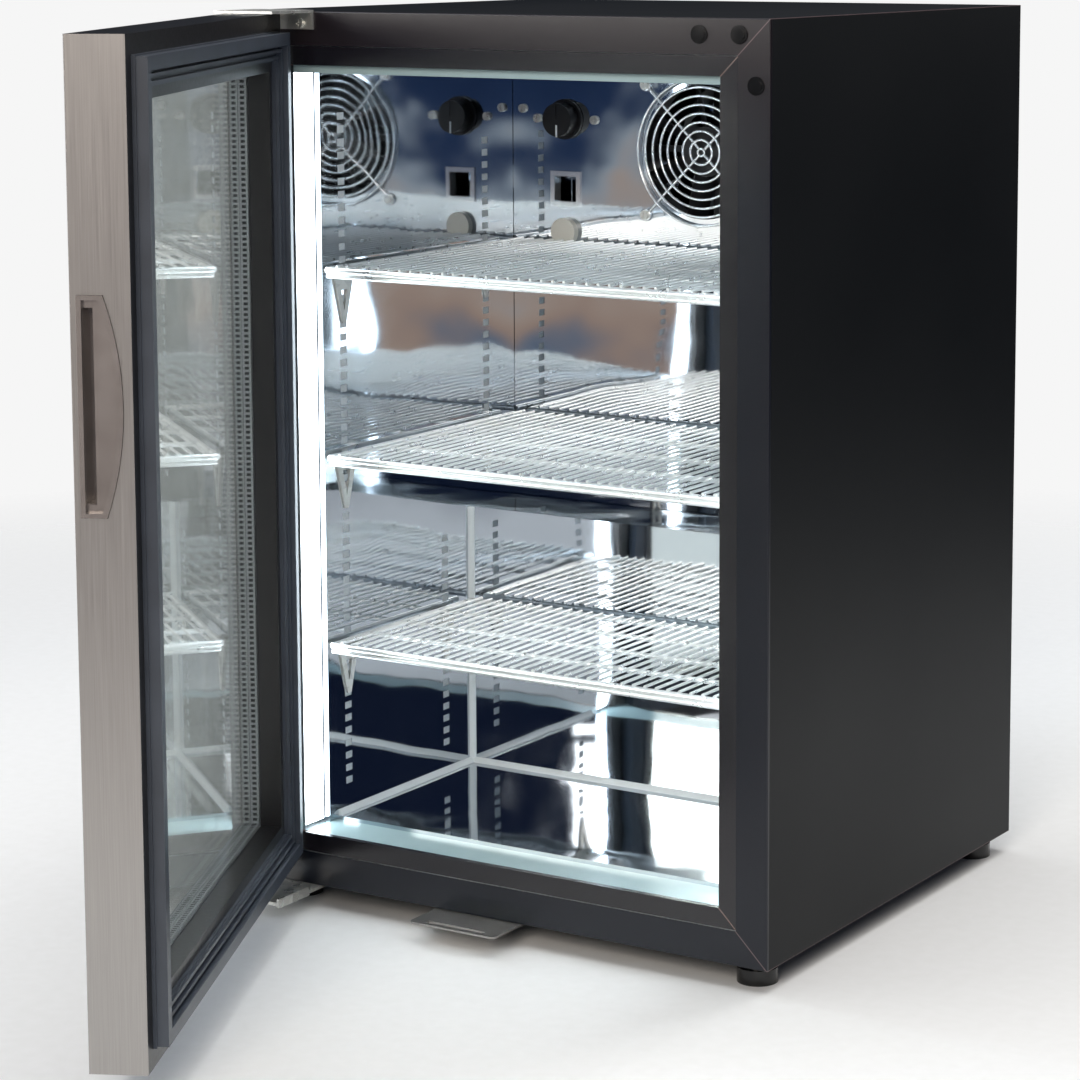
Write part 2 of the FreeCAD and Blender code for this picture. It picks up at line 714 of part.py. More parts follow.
def make_clip(name, side, column, level):
    """One clip, from a ledge, a web against the wall, two leaning braces and a hook."""
    def span(low, high):
        return (low, high) if side > 0 else (f"-({high})", f"-({low})")
    top = value(f"{level} - shelf_rim_wire - 0.3")
    pitch, first = value("slot_pitch"), 82.0 if column != "slot_column_rear" else 292.0
    hook_level = first + pitch * math.floor((top - 6 - first) / pitch) + 0.5
    centre, wall = value(column), value("liner_half")
    ledge = box(name + "_ledge", span("liner_half - 9", "liner_half - 0.2"),
                (f"{centre} - 13", f"{centre} + 13"), (f"{top} - 1.4", f"{top}"))
    hook = box(name + "_hook", span("liner_half - 1.6", "liner_half + liner_gauge"),
               (f"{centre} - 3.6", f"{centre} + 3.6"), (f"{hook_level}", f"{hook_level} + 4.5"))
    web = box(name + "_web", span("liner_half - 1.6", "liner_half - 0.2"),
              (f"{centre} - 9", f"{centre} + 9"), (f"{hook_level} - 1", f"{top} - 1"))
    pieces = [ledge, hook, web]
    for lean in (-1, 1):
        pieces.append(clip_brace(f"{name}_brace{lean + 1}", side, wall, centre, top, lean))
    return fuse(name, pieces)


def clip_brace(name, side, wall, centre, top, lean):
    """One leg of the V: a strip against the wall, from under the ledge down to the apex."""
    near, far = (wall - 1.6, wall - 0.2) if side > 0 else (0.2 - wall, 1.6 - wall)
    outline = [
        Vector(near, centre + lean * 13, top - 1), Vector(near, centre + lean * 7, top - 1),
        Vector(near, centre - lean * 2.2, top - 41), Vector(near, centre + lean * 2.2, top - 41),
    ]
    shape = doc.addObject("Part::Feature", name)
    shape.Shape = Part.Face(Part.makePolygon(outline + outline[:1])).extrude(Vector(far - near, 0, 0))
    return shape


# ---------------------------------------------------------------- hinge, strike plate, feet

def make_hinges():
    """Folded steel brackets on the cabinet, each with a pin that enters a bush in the door."""
    pin = ("pivot_inset - width / 2", "0 - pivot_ahead")
    door_top = "door_low + door_tall"
    plate = box("top_hinge_flat", ("10 - width / 2", "64 - width / 2"), ("0 - pivot_ahead - 12", "0"),
                (f"{door_top} + 0.5", f"{door_top} + 0.5 + hinge_plate"))
    tab = box("top_hinge_tab", ("29 - width / 2", "64 - width / 2"), ("0 - hinge_plate", "0"),
              (f"{door_top} - 12", f"{door_top} + 1"))
    pin_top = rod("top_hinge_pin", (*pin, f"{door_top} - 11"), "z", 12, "hinge_pin")
    sink = rod("top_hinge_hole", ("52.8 - width / 2", "0 - hinge_plate - 1", "676.9"), "y", 4, 2.3)
    top = cut("top_hinge_solid", fuse("top_hinge_joined", [plate, tab, pin_top]), [sink])
    sub_part("top_hinge_bracket", [top], front_shift)

    under = box("low_hinge_flat", ("8 - width / 2", "58 - width / 2"), ("0 - pivot_ahead - 14", "8"),
                ("foot_height - 2.5", "foot_height"))
    lip = box("low_hinge_lip", ("56 - width / 2", "58 - width / 2"), ("0 - pivot_ahead - 14", "0 - 14"),
              ("foot_height - 4", "foot_height + 3"))
    pin_low = rod("low_hinge_pin", (*pin, "foot_height - 1"), "z", "door_low - foot_height + 12", "hinge_pin")
    collar = rod("low_hinge_collar", (*pin, "foot_height - 1"), "z", "door_low - foot_height + 0.6", 8)
    sub_part("bottom_hinge_bracket", [fuse("low_hinge_joined", [under, lip, pin_low, collar])], front_shift)


def make_strike_plate():
    """The polished plate under the front edge that the door's lock tongue drops through."""
    low = "foot_height - strike_gauge"
    plate = box("strike_flat", ("lock_across - strike_half", "lock_across + strike_half"),
                ("0 - strike_ahead", "22"), (low, "foot_height"))
    rounded = round_corners("strike_rounded", plate, 4.0, "z", "0 - strike_ahead")
    slot = box("strike_slot", ("lock_across - 25", "lock_across + 25"), ("0 - 32.6", "0 - 27.6"),
               (f"{low} - 1", "foot_height + 1"))
    sub_part("lock_strike_plate", [cut("strike_solid", rounded, [slot])], front_shift)


def round_corners(name, base, radius, axis, front):
    """Rounds the two upright edges of a plate at its front."""
    doc.recompute()
    level = value(front)
    picked = []
    for index, edge in enumerate(base.Shape.Edges, start=1):
        direction = edge.tangentAt(edge.FirstParameter)
        if abs(getattr(direction, axis)) > 0.9 and abs(edge.CenterOfMass.y - level) < 0.01:
            picked.append((index, radius, radius))
    rounded = doc.addObject("Part::Fillet", name)
    rounded.Base = base
    rounded.Edges = picked
    return rounded


def make_feet():
    """Four round plastic feet with a slight waist, pressed into the base pan."""
    feet = []
    places = []
    for side in (-1, 1):
        places.append((f"{side} * (width / 2 - foot_inset_side)", "foot_inset_front"))
        places.append((f"{side} * (width / 2 - foot_inset_side)", "depth - foot_inset_rear"))
    for number, (across, along) in enumerate(places):
        pad = rod(f"foot_pad{number}", (across, along, 0), "z", 11, "foot_size")
        neck = rod(f"foot_neck{number}", (across, along, 0), "z", "foot_height", "foot_size - 3")
        feet.append(fuse(f"foot{number}", [pad, neck]))
    sub_part("feet", feet, front_shift)


# ---------------------------------------------------------------- machine compartment

def make_machinery():
    """Compressor on rubber mounts, a tube condenser and the cable gland in the rear compartment."""
    shell = doc.addObject("Part::Cylinder", "compressor_can")
    shell.Radius, shell.Height = 52, 96
    shell.Placement = Placement(Vector(-88, 332, 46), Rotation())
    dome = doc.addObject("Part::Sphere", "compressor_dome")
    dome.Radius = 52
    dome.Placement = Placement(Vector(-88, 332, 142), Rotation())
    foot = box("compressor_foot", (-158, -18), (282, 382), (38, 42))
    leg = rod("compressor_leg", (-88, 332, 40), "z", 10, 40)
    sub_part("compressor", [fuse("compressor_solid", [shell, dome, foot, leg])], front_shift)
    mounts = []
    for number, (across, along) in enumerate(((-150, 290), (-26, 290), (-150, 374), (-26, 374))):
        mounts.append(rod(f"mount{number}", (across, along, 18), "z", 20, 7))
    sub_part("compressor_mounts", mounts, front_shift)
    passes = []
    for row in range(8):
        passes.append(rod(f"pass{row}", (20, 330, f"46 + {row} * 22"), "x", 150, 3))
    for wire in range(14):
        passes.append(rod(f"wire{wire}", (f"28 + {wire} * 10.5", 333, 40), "z", 170, 1.2))
    ends = [rod("header_a", (22, 330, 40), "z", 170, 3.4), rod("header_b", (168, 330, 40), "z", 170, 3.4)]
    feet = [
        box("condenser_foot_a", (20, 24), (326, 336), (18, 44)),
        box("condenser_foot_b", (166, 170), (326, 336), (18, 44)),
    ]
    sub_part("condenser", [fuse("condenser_solid", passes + ends + feet)], front_shift)
    flange = box("inlet_flange", (120, 150), ("depth", "depth + 2"), (44, 66))
    sleeve = box("inlet_sleeve", (123, 147), ("depth - 16", "depth + 2"), (47, 63))
    socket = box("inlet_socket", (125, 145), ("depth - 12", "depth + 3"), (49, 61))
    inlet = cut("inlet_solid", fuse("inlet_joined", [flange, sleeve]), [socket])
    sub_part("power_inlet", [inlet], front_shift)


# ---------------------------------------------------------------- door

def door_level():
    """The height of the door's middle."""
    return "door_low + door_tall / 2"


def depth_from_front(start, end):
    """Depths in the door, counted back from its front face."""
    front = "0 - door_gap - door_thick"
    return (f"{front} + {start}", f"{front} + {end}")


def handle_pocket(member):
    """The opening in the free edge that the handle insert drops into."""
    pocket = handle_outline(member.Name + "_pocket", 0.15)
    return cut(member.Name + "_open", member, [pocket])


def handle_outline(name, ease, inset=0.0, deep=None, proud=0.0):
    """A D-shaped prism through the free edge: straight in front, bowed towards the cabinet.

    ease grows the outline, inset shrinks it, deep is how far it goes into the door and proud
    how far it stands out of the edge.
    """
    low, tall = value("handle_low"), value("handle_tall")
    front, narrow, bulge = value("handle_front"), value("handle_narrow"), value("handle_bulge")
    grow = ease - inset
    edge = value("width / 2")
    y0, y1 = front - grow, front + narrow + grow
    z0, z1 = low - grow, low + tall + grow
    middle = (z0 + z1) / 2
    outward = edge + proud
    corner = [Vector(outward, y, z) for y, z in ((y0, z0), (y0, z1), (y1, z1), (y1, z0))]
    bow = Part.Arc(corner[2], Vector(outward, y1 + bulge, middle), corner[3]).toShape()
    sides = [Part.makeLine(corner[3], corner[0]), Part.makeLine(corner[0], corner[1]),
             Part.makeLine(corner[1], corner[2])]
    face = Part.Face(Part.Wire(sides + [bow]))
    prism = doc.addObject("Part::Feature", name)
    prism.Shape = face.extrude(Vector(-(proud + (deep or value("handle_well"))), 0, 0))
    return prism


def lock_opening(member):
    """The round hole in the bottom rail's skin for the lock barrel."""
    hole = rod("lock_skin_hole", ("lock_across", "0 - door_gap - door_thick - 1", "lock_level"), "y", 3, 9)
    return cut(member.Name + "_holed", member, [hole])


def make_door_skins():
    """Brushed stainless sheet round the door: a mitred front band and, at the sides, an edge."""
    for side in SIDES:
        strips = [(("0", "door_band"), depth_from_front("0", "door_skin"))]
        if side in ("left", "right"):
            strips.append((("0", "door_skin"), depth_from_front("0", "door_thick")))
        edit = {"right": handle_pocket, "bottom": lock_opening}.get(side)
        rounding = (0.8, value("0 - door_gap - door_thick")) if len(strips) > 1 else None
        frame_member(f"door_skin_{side}", side, "width", "door_tall", door_level(), strips, door_place,
                     rounding, edit)


def make_door_profiles():
    """Black extruded frame members that hold the glass and carry the gasket."""
    def lock_pocket(member):
        pocket = box(
            "lock_swing", ("lock_across - 8", "lock_across + 42"),
            ("tongue_front - 1.4", "tongue_front + 3.8"), ("door_low - 1", "lock_level + 8"),
        )
        barrel = rod("lock_barrel_hole", ("lock_across", "0 - door_gap - door_thick", "lock_level"), "y",
                     26, 9)
        return cut("door_profile_bottom_cut", member, [pocket, barrel, bush_hole("low")])
    edits = {
        "right": handle_pocket,
        "bottom": lock_pocket,
        "top": lambda member: cut("door_profile_top_cut", member, [bush_hole("high")]),
    }
    for side in SIDES:
        start = "door_skin" if side in ("left", "right") else "0"
        body = ((start, "glass_edge"), depth_from_front("door_skin", "door_thick"))
        glass_rear = "door_skin + 3 * glass_gauge + 2 * glass_space"
        lip = (("glass_edge", "aperture"), depth_from_front(glass_rear, "door_thick"))
        frame_member(f"door_profile_{side}", side, "width", "door_tall", door_level(), [body, lip],
                     door_place, None, edits.get(side))


def bush_hole(name):
    """The round pocket for a hinge bush, at the foot or the head of the door."""
    low = "door_low" if name == "low" else "door_low + door_tall - bush_depth"
    return rod("bush_hole_" + name, ("pivot_inset - width / 2", "0 - pivot_ahead", f"{low} - 1"), "z",
               "bush_depth + 2", "bush_size")


def make_hinge_bushes():
    """Nylon bushes at the foot and the head of the door that turn on the hinge pins."""
    bushes = []
    high = "door_low + door_tall - bush_depth - door_skin"
    for name, low in (("low", "door_low + door_skin"), ("high", high)):
        centre = ("pivot_inset - width / 2", "0 - pivot_ahead", low)
        body = rod(f"bush_{name}", centre, "z", "bush_depth", "bush_size")
        bore = rod(f"bush_bore_{name}", (centre[0], centre[1], f"{low} - 1"), "z", "bush_depth + 2",
                   "hinge_pin + running_gap")
        bushes.append(cut(f"bush_{name}_bored", body, [bore]))
    sub_part("hinge_bushes", bushes, door_place)


def make_glass():
    """Three panes with two perforated spacer frames between them."""
    across, tall = "width / 2 - glass_edge", "door_tall / 2 - glass_edge"
    middle = door_level()
    layers = ("glass_outer_pane", "glass_middle_pane", "glass_inner_pane")
    for number, label in enumerate(layers):
        start = f"door_skin + {number} * (glass_gauge + glass_space)"
        pane = box(
            label + "_sheet", (f"0 - ({across})", across),
            depth_from_front(start, f"{start} + glass_gauge"),
            (f"{middle} - ({tall})", f"{middle} + ({tall})"),
        )
        sub_part(label, [pane], door_place)
    spacers = []
    for number, label in enumerate(("spacer_front", "spacer_rear")):
        start = f"door_skin + glass_gauge + {number} * (glass_gauge + glass_space)"
        band = "glass_edge + 3"
        outer = box(label + "_outer", (f"{band} - width / 2", f"width / 2 - ({band})"),
                    depth_from_front(start, f"{start} + glass_space"),
                    (f"door_low + {band}", f"door_low + door_tall - ({band})"))
        inner_band = f"{band} + spacer_band"
        inner = box(label + "_inner", (f"{inner_band} - width / 2", f"width / 2 - ({inner_band})"),
                    depth_from_front(f"{start} - 1", f"{start} + glass_space + 1"),
                    (f"door_low + {inner_band}", f"door_low + door_tall - ({inner_band})"))
        spacers.append(cut(label + "_frame", outer, [inner]))
    sub_part("glass_spacers", spacers, door_place)


def make_gasket():
    """The magnetic door seal: a flat base with a sealing bulb and two low ribs, welded at corners."""
    ribs = [
        (("gasket_start", "gasket_end"), ("0 - door_gap", "0 - door_gap + 2.6")),
        (("gasket_start + 1", "gasket_start + 10"), ("0 - door_gap + 1", "0 - 1.9")),
        (("gasket_start + 12.5", "gasket_start + 15"), ("0 - door_gap + 1", "0 - 5.5")),
        (("gasket_start + 17.5", "gasket_start + 20"), ("0 - door_gap + 1", "0 - 7")),
    ]
    sides = []
    for side in SIDES:
        upright = side in ("left", "right")
        run, reach = ("door_tall", "width") if upright else ("width", "door_tall")
        flat = [mitred_strip(f"gasket_{side}{n}", run, inner, y) for n, (inner, y) in enumerate(ribs)]
        turned = doc.addObject("Part::Compound", f"gasket_{side}")
        turned.Links = [fuse(f"gasket_{side}_joined", flat)]
        turn = Rotation(Vector(0, 1, 0), SIDES[side])
        offset = turn.multVec(Vector(0, 0, -value(reach) / 2))
        turned.Placement = Placement(Vector(0, 0, value(door_level())) + offset, turn)
        sides.append(turned)
    sub_part("door_gasket", [fuse("gasket_welded", sides)], door_place)


def make_handle():
    """The moulded grip in the free edge: a bowed flange, a shallow dish and a deep finger slot."""
    flange = handle_outline("handle_flange", 0.0, deep=1.0, proud=1.0)
    well = handle_outline("handle_body", 0.0, inset=0.3)
    front = "finger_slot_front"
    spare = "(handle_tall - finger_slot_tall) / 2"
    slot = box(
        "finger_slot", ("width / 2 - handle_well + 3", "width / 2 + 2"),
        (front, f"{front} + finger_slot_wide"),
        (f"handle_low + {spare}", f"handle_low + handle_tall - {spare}"),
    )
    dish = handle_outline("handle_dish", 0.0, inset=3.0, deep=3.0, proud=2.0)
    solid = cut("handle_solid", fuse("handle_joined", [flange, well]), [dish, slot])
    sub_part("door_handle_insert", [solid], door_place)


def make_lock():
    """A key lock in the bottom rail: a fixed barrel, and a turning core that carries the tongue."""
    front = "0 - door_gap - door_thick"
    centre = ("lock_across", front, "lock_level")
    shell = rod("barrel_body", centre, "y", f"tongue_front - 1.6 - ({front})", 8.9)
    flange = rod("barrel_flange", ("lock_across", f"{front} - 2", "lock_level"), "y", 2, 11)
    bore = rod("barrel_bore", ("lock_across", f"{front} - 3", "lock_level"), "y", 26,
               "lock_core + running_gap")
    barrel = cut("barrel_solid", fuse("barrel_joined", [shell, flange]), [bore])
    sub_part("lock_barrel", [barrel], door_place)
    plug = rod("core_plug", ("lock_across", f"{front} - 2.4", "lock_level"), "y",
               f"tongue_front + 2.9 - ({front})", "lock_core")
    key = box("core_key", ("lock_across - 0.6", "lock_across + 0.6"), (f"{front} - 3", f"{front} + 8"),
              ("lock_level - 3.4", "lock_level + 3.4"))
    tongue = box(
        "core_tongue", ("lock_across - tongue_half", "lock_across + tongue_reach"),
        ("tongue_front", "tongue_front + tongue_gauge"),
        ("lock_level - tongue_half", "lock_level + tongue_half"),
    )
    sub_part("lock_core", [cut("core_solid", fuse("core_joined", [plug, tongue]), [key])], door_place)


# ---------------------------------------------------------------- fasteners

def make_screws():
    """Pan-head screws: fan guard, evaporator cover, thermostat and top hinge."""
    screws = []
    for across in (-1, 1):
        for level in (-1, 1):
            screws.append(pan_screw(
                f"guard_screw{across + 1}{level + 1}", f"{across} * guard_screw", "cover_front - 2.6",
                f"fan_level + {level} * guard_screw", 2.6))
    corners = ((-171.5, 599.0), (171.5, 599.0), (-171.5, 300.0), (171.5, 300.0))
    for number, (across, level) in enumerate(corners):
        screws.append(pan_screw(f"cover_screw{number}", f"{across}", "cover_front", f"{level}", 0))
    for number, offset in enumerate((-27.5, 27.5)):
        screws.append(pan_screw(
            f"control_screw{number}", f"knob_across + {offset}", "cover_front", "knob_level", 0,
        ))
    screws.append(pan_screw("hinge_screw", "52.8 - width / 2", "0 - hinge_plate", "676.9", "hinge_plate"))
    sub_part("screws", screws, front_shift)


def build():
    """Makes every sub-part of the cabinet, then of the door."""
    make_shell()
    make_back_panel()
    make_trim()
    make_breaker_strips()
    make_hole_plugs()
    make_liner()
    make_insulation()
    make_evaporator_cover()
    make_fan_guard()
    make_fan()
    make_evaporator()
    make_thermostat()
    make_light_bars()
    for label, (level, rear, _) in SHELVES.items():
        make_shelf(label, level, rear)
    make_shelf_clips()
    make_hinges()
    make_strike_plate()
    make_feet()
    make_machinery()
    make_door_skins()
    make_door_profiles()
    make_hinge_bushes()
    make_glass()
    make_gasket()
    make_handle()
    make_lock()
    make_screws()


def check_and_export():
    """Stops on any failed object, then writes one STEP file to each sub-part."""
    doc.recompute()
    for item in doc.Objects:
        if "Invalid" in item.State or "Error" in item.State:
            raise RuntimeError(f"{item.Name} failed: {item.State}")
    os.makedirs("parts", exist_ok=True)
    for node in sub_parts:
        shape = node.Shape
        if shape.isNull() or not shape.isValid() or not shape.Solids:
            raise RuntimeError(f"{node.Label} has no valid shape")
        shape.exportStep(os.path.join("parts", node.Label + ".step"))
        print(f"{node.Label}: {len(shape.Solids)} solids, {shape.Volume / 1000:.1f} cm3")
    print(len(sub_parts), "sub-parts")


build()
check_and_export()
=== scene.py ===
import math

import bpy
from mathutils import Matrix, Vector


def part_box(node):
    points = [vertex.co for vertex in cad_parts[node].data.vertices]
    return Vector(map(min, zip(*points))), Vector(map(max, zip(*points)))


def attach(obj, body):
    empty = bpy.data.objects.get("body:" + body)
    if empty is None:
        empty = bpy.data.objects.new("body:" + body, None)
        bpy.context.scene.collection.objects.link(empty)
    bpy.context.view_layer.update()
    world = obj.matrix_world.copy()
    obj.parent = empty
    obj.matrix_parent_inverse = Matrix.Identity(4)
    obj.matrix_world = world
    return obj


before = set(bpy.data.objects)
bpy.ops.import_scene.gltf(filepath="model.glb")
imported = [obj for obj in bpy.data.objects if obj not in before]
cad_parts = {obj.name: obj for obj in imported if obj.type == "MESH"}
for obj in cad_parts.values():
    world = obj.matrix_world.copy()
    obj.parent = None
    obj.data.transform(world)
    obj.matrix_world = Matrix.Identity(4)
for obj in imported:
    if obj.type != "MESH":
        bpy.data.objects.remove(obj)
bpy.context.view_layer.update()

bpy.ops.object.select_all(action="DESELECT")


# Camera: a long lens on a stand, to the right of the door opening and a little above the top of
# the cooler, looking back and down at it.
camera_data = bpy.data.cameras.new("stand_camera")
camera_data.lens = 104.454
camera_data.sensor_width = 36.0
camera_data.shift_x = -0.0937
camera_data.shift_y = -0.1848
camera_data.clip_end = 50.0
camera = bpy.data.objects.new("stand_camera", camera_data)
bpy.context.scene.collection.objects.link(camera)
stand = Vector((1.2541, -1.8574, 0.7496))
turn, tip, lean = math.radians(31.2231), math.radians(7.57), math.radians(0.0811)
ahead = Vector((-math.sin(turn) * math.cos(tip), math.cos(turn) * math.cos(tip), -math.sin(tip)))
level = Vector((math.cos(turn), math.sin(turn), 0.0))
under = ahead.cross(level)
right = math.cos(lean) * level + math.sin(lean) * under
down = -math.sin(lean) * level + math.cos(lean) * under
camera.matrix_world = Matrix((
    (right.x, -down.x, -ahead.x, stand.x),
    (right.y, -down.y, -ahead.y, stand.y),
    (right.z, -down.z, -ahead.z, stand.z),
    (0.0, 0.0, 0.0, 1.0),
))
bpy.context.scene.camera = camera


# Studio floor and lights: a plain pale floor of matt paper, a broad soft lamp near the camera,
# weaker ones from the left, above and behind, and a dim blue-grey room for the polished steel
# to mirror. The camera, and what is seen through the glass, get a white backdrop instead.
def srgb(hexadecimal):
    """A colour from its hex value, as the linear light that shaders work in."""
    parts = [int(hexadecimal[place:place + 2], 16) / 255 for place in (1, 3, 5)]
    linear = [
        part / 12.92 if part <= 0.04045 else ((part + 0.055) / 1.055) ** 2.4 for part in parts
    ]
    return linear + [1.0]


def add_node(finish, kind, settings=None, links=None):
    """Adds one node to a finish, gives it its settings and joins its sockets up."""
    node = finish.node_tree.nodes.new(kind)
    for name, setting in (settings or {}).items():
        if isinstance(name, int) or name in node.inputs:
            node.inputs[name].default_value = setting
        else:
            setattr(node, name, setting)
    for name, source in (links or {}).items():
        finish.node_tree.links.new(source, node.inputs[name])
    return node


def start_finish(name):
    """An empty finish, ready for its nodes."""
    finish = bpy.data.materials.new(name)
    finish.use_nodes = True
    finish.node_tree.nodes.clear()
    return finish


floor_finish = start_finish("matt_paper_floor")
where = add_node(floor_finish, "ShaderNodeTexCoord")
fibre = add_node(floor_finish, "ShaderNodeTexNoise", {"Scale": 90.0, "Detail": 3.0},
                 {"Vector": where.outputs["Object"]})
shade = add_node(floor_finish, "ShaderNodeMix",
                 {"data_type": "RGBA", 6: srgb("#EDEDEB"), 7: srgb("#F4F4F3")},
                 {0: fibre.outputs["Fac"]})
# The paper is whole as far as 1.1 m out and has thinned away to nothing at 2.0 m, so that it
# ends in the backdrop.
paper_whole, paper_gone = 1.1, 2.0
reach = add_node(floor_finish, "ShaderNodeVectorMath", {"operation": "LENGTH"},
                 {0: where.outputs["Object"]})
thin = add_node(floor_finish, "ShaderNodeMapRange",
                {"From Min": paper_whole, "From Max": paper_gone, "To Min": 1.0, "To Max": 0.0},
                {"Value": reach.outputs["Value"]})
paper = add_node(floor_finish, "ShaderNodeBsdfPrincipled", {"Roughness": 0.75},
                 {"Base Color": shade.outputs[2], "Alpha": thin.outputs["Result"]})
add_node(floor_finish, "ShaderNodeOutputMaterial", links={"Surface": paper.outputs["BSDF"]})
floor_width = 4.4
bpy.ops.mesh.primitive_plane_add(size=floor_width, location=(0.0, 0.0, 0.0))
floor = bpy.context.object
floor.name = "studio_floor"
floor.data.materials.append(floor_finish)
floor.select_set(False)

for name, place, aim, size, power, tint in (
    ("lamp_right", (1.2, -3.4, 1.9), (0.0, -0.1, 0.35), 1.6, 80.0, "#FFF4E8"),
    ("lamp_left", (-2.4, -2.2, 2.0), (-0.1, -0.2, 0.35), 1.4, 34.0, "#EAF2FF"),
    ("lamp_low_left", (-1.9, -2.9, 1.0), (0.0, 0.0, 0.35), 0.8, 20.0, "#FFF8F0"),
    ("lamp_top", (0.2, 0.3, 3.0), (0.0, 0.1, 0.4), 2.2, 60.0, "#FFFFFF"),
    ("lamp_back", (0.8, 2.8, 1.8), (0.0, 0.2, 0.4), 1.4, 24.0, "#FFFFFF"),
):
    lamp_data = bpy.data.lights.new(name, "AREA")
    lamp_data.shape = "SQUARE"
    lamp_data.size = size
    lamp_data.energy = power
    lamp_data.color = srgb(tint)[:3]
    lamp = bpy.data.objects.new(name, lamp_data)
    bpy.context.scene.collection.objects.link(lamp)
    lamp.location = place
    lamp.rotation_euler = (Vector(aim) - Vector(place)).to_track_quat("-Z", "Y").to_euler()

surround = bpy.data.worlds.new("studio_surround")
surround.use_nodes = True
surround.node_tree.nodes.clear()
where = add_node(surround, "ShaderNodeTexCoord")
height = add_node(surround, "ShaderNodeSeparateXYZ", links={"Vector": where.outputs["Generated"]})
# The bands of the room run from 0.3 below the level of the eye to 0.7 above it, and their edges
# are ragged by up to 0.07.
band_start, band_end, ragged_by = -0.265, 0.735, 0.07
ragged = add_node(surround, "ShaderNodeTexNoise", {"Scale": 5.0, "Detail": 3.0},
                  {"Vector": where.outputs["Generated"]})
uneven = add_node(surround, "ShaderNodeMath", {"operation": "MULTIPLY_ADD", 1: ragged_by},
                  {0: ragged.outputs["Fac"], 2: height.outputs["Z"]})
rise = add_node(surround, "ShaderNodeMapRange", {"From Min": band_start, "From Max": band_end},
                {"Value": uneven.outputs["Value"]})
# On the right the room is navy above a warm pale band, on the left it is paler, and behind the
# cooler it is dark.
left_room = add_node(surround, "ShaderNodeValToRGB", links={"Fac": rise.outputs["Result"]})
right_room = add_node(surround, "ShaderNodeValToRGB", links={"Fac": rise.outputs["Result"]})
for ramp, bands in (
    (right_room, (
        (0.0, "#1A2030"), (0.1, "#4E566A"), (0.15, "#8E9AAC"), (0.175, "#E3BCA4"),
        (0.2, "#F2D2BC"), (0.212, "#D3DCE2"), (0.225, "#33476A"), (0.3, "#22304E"),
        (0.5, "#1E2840"), (0.7, "#2A3450"), (1.0, "#9AA0A8"),
    )),
    (left_room, (
        (0.0, "#6A6460"), (0.12, "#B9A292"), (0.2, "#EAD9CC"), (0.26, "#D9E0E6"),
        (0.34, "#8494AC"), (0.5, "#46526E"), (1.0, "#A9AFB5"),
    )),
):
    edges = ramp.color_ramp.elements
    edges[0].color, edges[1].color = srgb(bands[0][1]), srgb(bands[-1][1])
    for place, tint in bands[1:-1]:
        edges.new(place).color = srgb(tint)
side = add_node(surround, "ShaderNodeMapRange", {"From Min": -0.1, "From Max": 0.4},
                {"Value": height.outputs["X"]})
dusk = add_node(surround, "ShaderNodeMix", {"data_type": "RGBA"},
                {0: side.outputs["Result"], 6: left_room.outputs["Color"],
                 7: right_room.outputs["Color"]})
behind = add_node(surround, "ShaderNodeMapRange", {"From Min": 0.0, "From Max": 0.4},
                  {"Value": height.outputs["Y"]})
shut_in = add_node(surround, "ShaderNodeMix", {"data_type": "RGBA", 7: srgb("#1B212C")},
                   {0: behind.outputs["Result"], 6: dusk.outputs[2]})
room = add_node(surround, "ShaderNodeBackground", {"Strength": 1.0}, {"Color": shut_in.outputs[2]})
backdrop = add_node(surround, "ShaderNodeBackground", {"Color": srgb("#F6F6F6"), "Strength": 1.0})
seen = add_node(surround, "ShaderNodeLightPath")
clear = add_node(surround, "ShaderNodeMath", {"operation": "MAXIMUM"},
                 {0: seen.outputs["Is Camera Ray"], 1: seen.outputs["Is Transmission Ray"]})
either = add_node(surround, "ShaderNodeMixShader", {},
                  {0: clear.outputs["Value"], 1: room.outputs["Background"],
                   2: backdrop.outputs["Background"]})
add_node(surround, "ShaderNodeOutputWorld", links={"Surface": either.outputs["Shader"]})
bpy.context.scene.world = surround
bpy.context.scene.view_settings.view_transform = "Standard"


# Cabinet shell: left and right sides, top and base pan, folded from steel sheet and powder
# coated. The coat is a very dark blue-black, half matt, with the fine texture of baked powder.
def finish_nodes(finish, *names):
    """Puts a finish on CAD nodes, in place of the one that they came with."""
    for name in names:
        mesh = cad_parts[name].data
        mesh.materials.clear()
        mesh.materials.append(finish)


def mitre_highlight(finish, spot):
    """A mask for the painted highlight on the mitred corners of the front: a line at 45 degrees
    from each outer corner.
    """
    width = add_node(finish, "ShaderNodeMath", {"operation": "ABSOLUTE"}, {0: spot.outputs["X"]})
    edge = add_node(finish, "ShaderNodeMath", {"operation": "SUBTRACT", 0: face_side},
                    {1: width.outputs["Value"]})
    top = add_node(finish, "ShaderNodeMath", {"operation": "SUBTRACT", 0: face_top},
                   {1: spot.outputs["Z"]})
    foot = add_node(finish, "ShaderNodeMath", {"operation": "SUBTRACT", 1: face_foot},
                    {0: spot.outputs["Z"]})
    near = add_node(finish, "ShaderNodeMath", {"operation": "MINIMUM"},
                    {0: top.outputs["Value"], 1: foot.outputs["Value"]})
    off = add_node(finish, "ShaderNodeMath", {"operation": "SUBTRACT"},
                   {0: edge.outputs["Value"], 1: near.outputs["Value"]})
    gap = add_node(finish, "ShaderNodeMath", {"operation": "ABSOLUTE"}, {0: off.outputs["Value"]})
    line = add_node(finish, "ShaderNodeMapRange",
                    {"From Min": seam_core, "From Max": seam_rim, "To Min": 1.0, "To Max": 0.0},
                    {"Value": gap.outputs["Value"]})
    return line.outputs["Result"]


face_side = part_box("right_side_panel")[1].x
face_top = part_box("top_panel")[1].z
face_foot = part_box("base_pan")[0].z
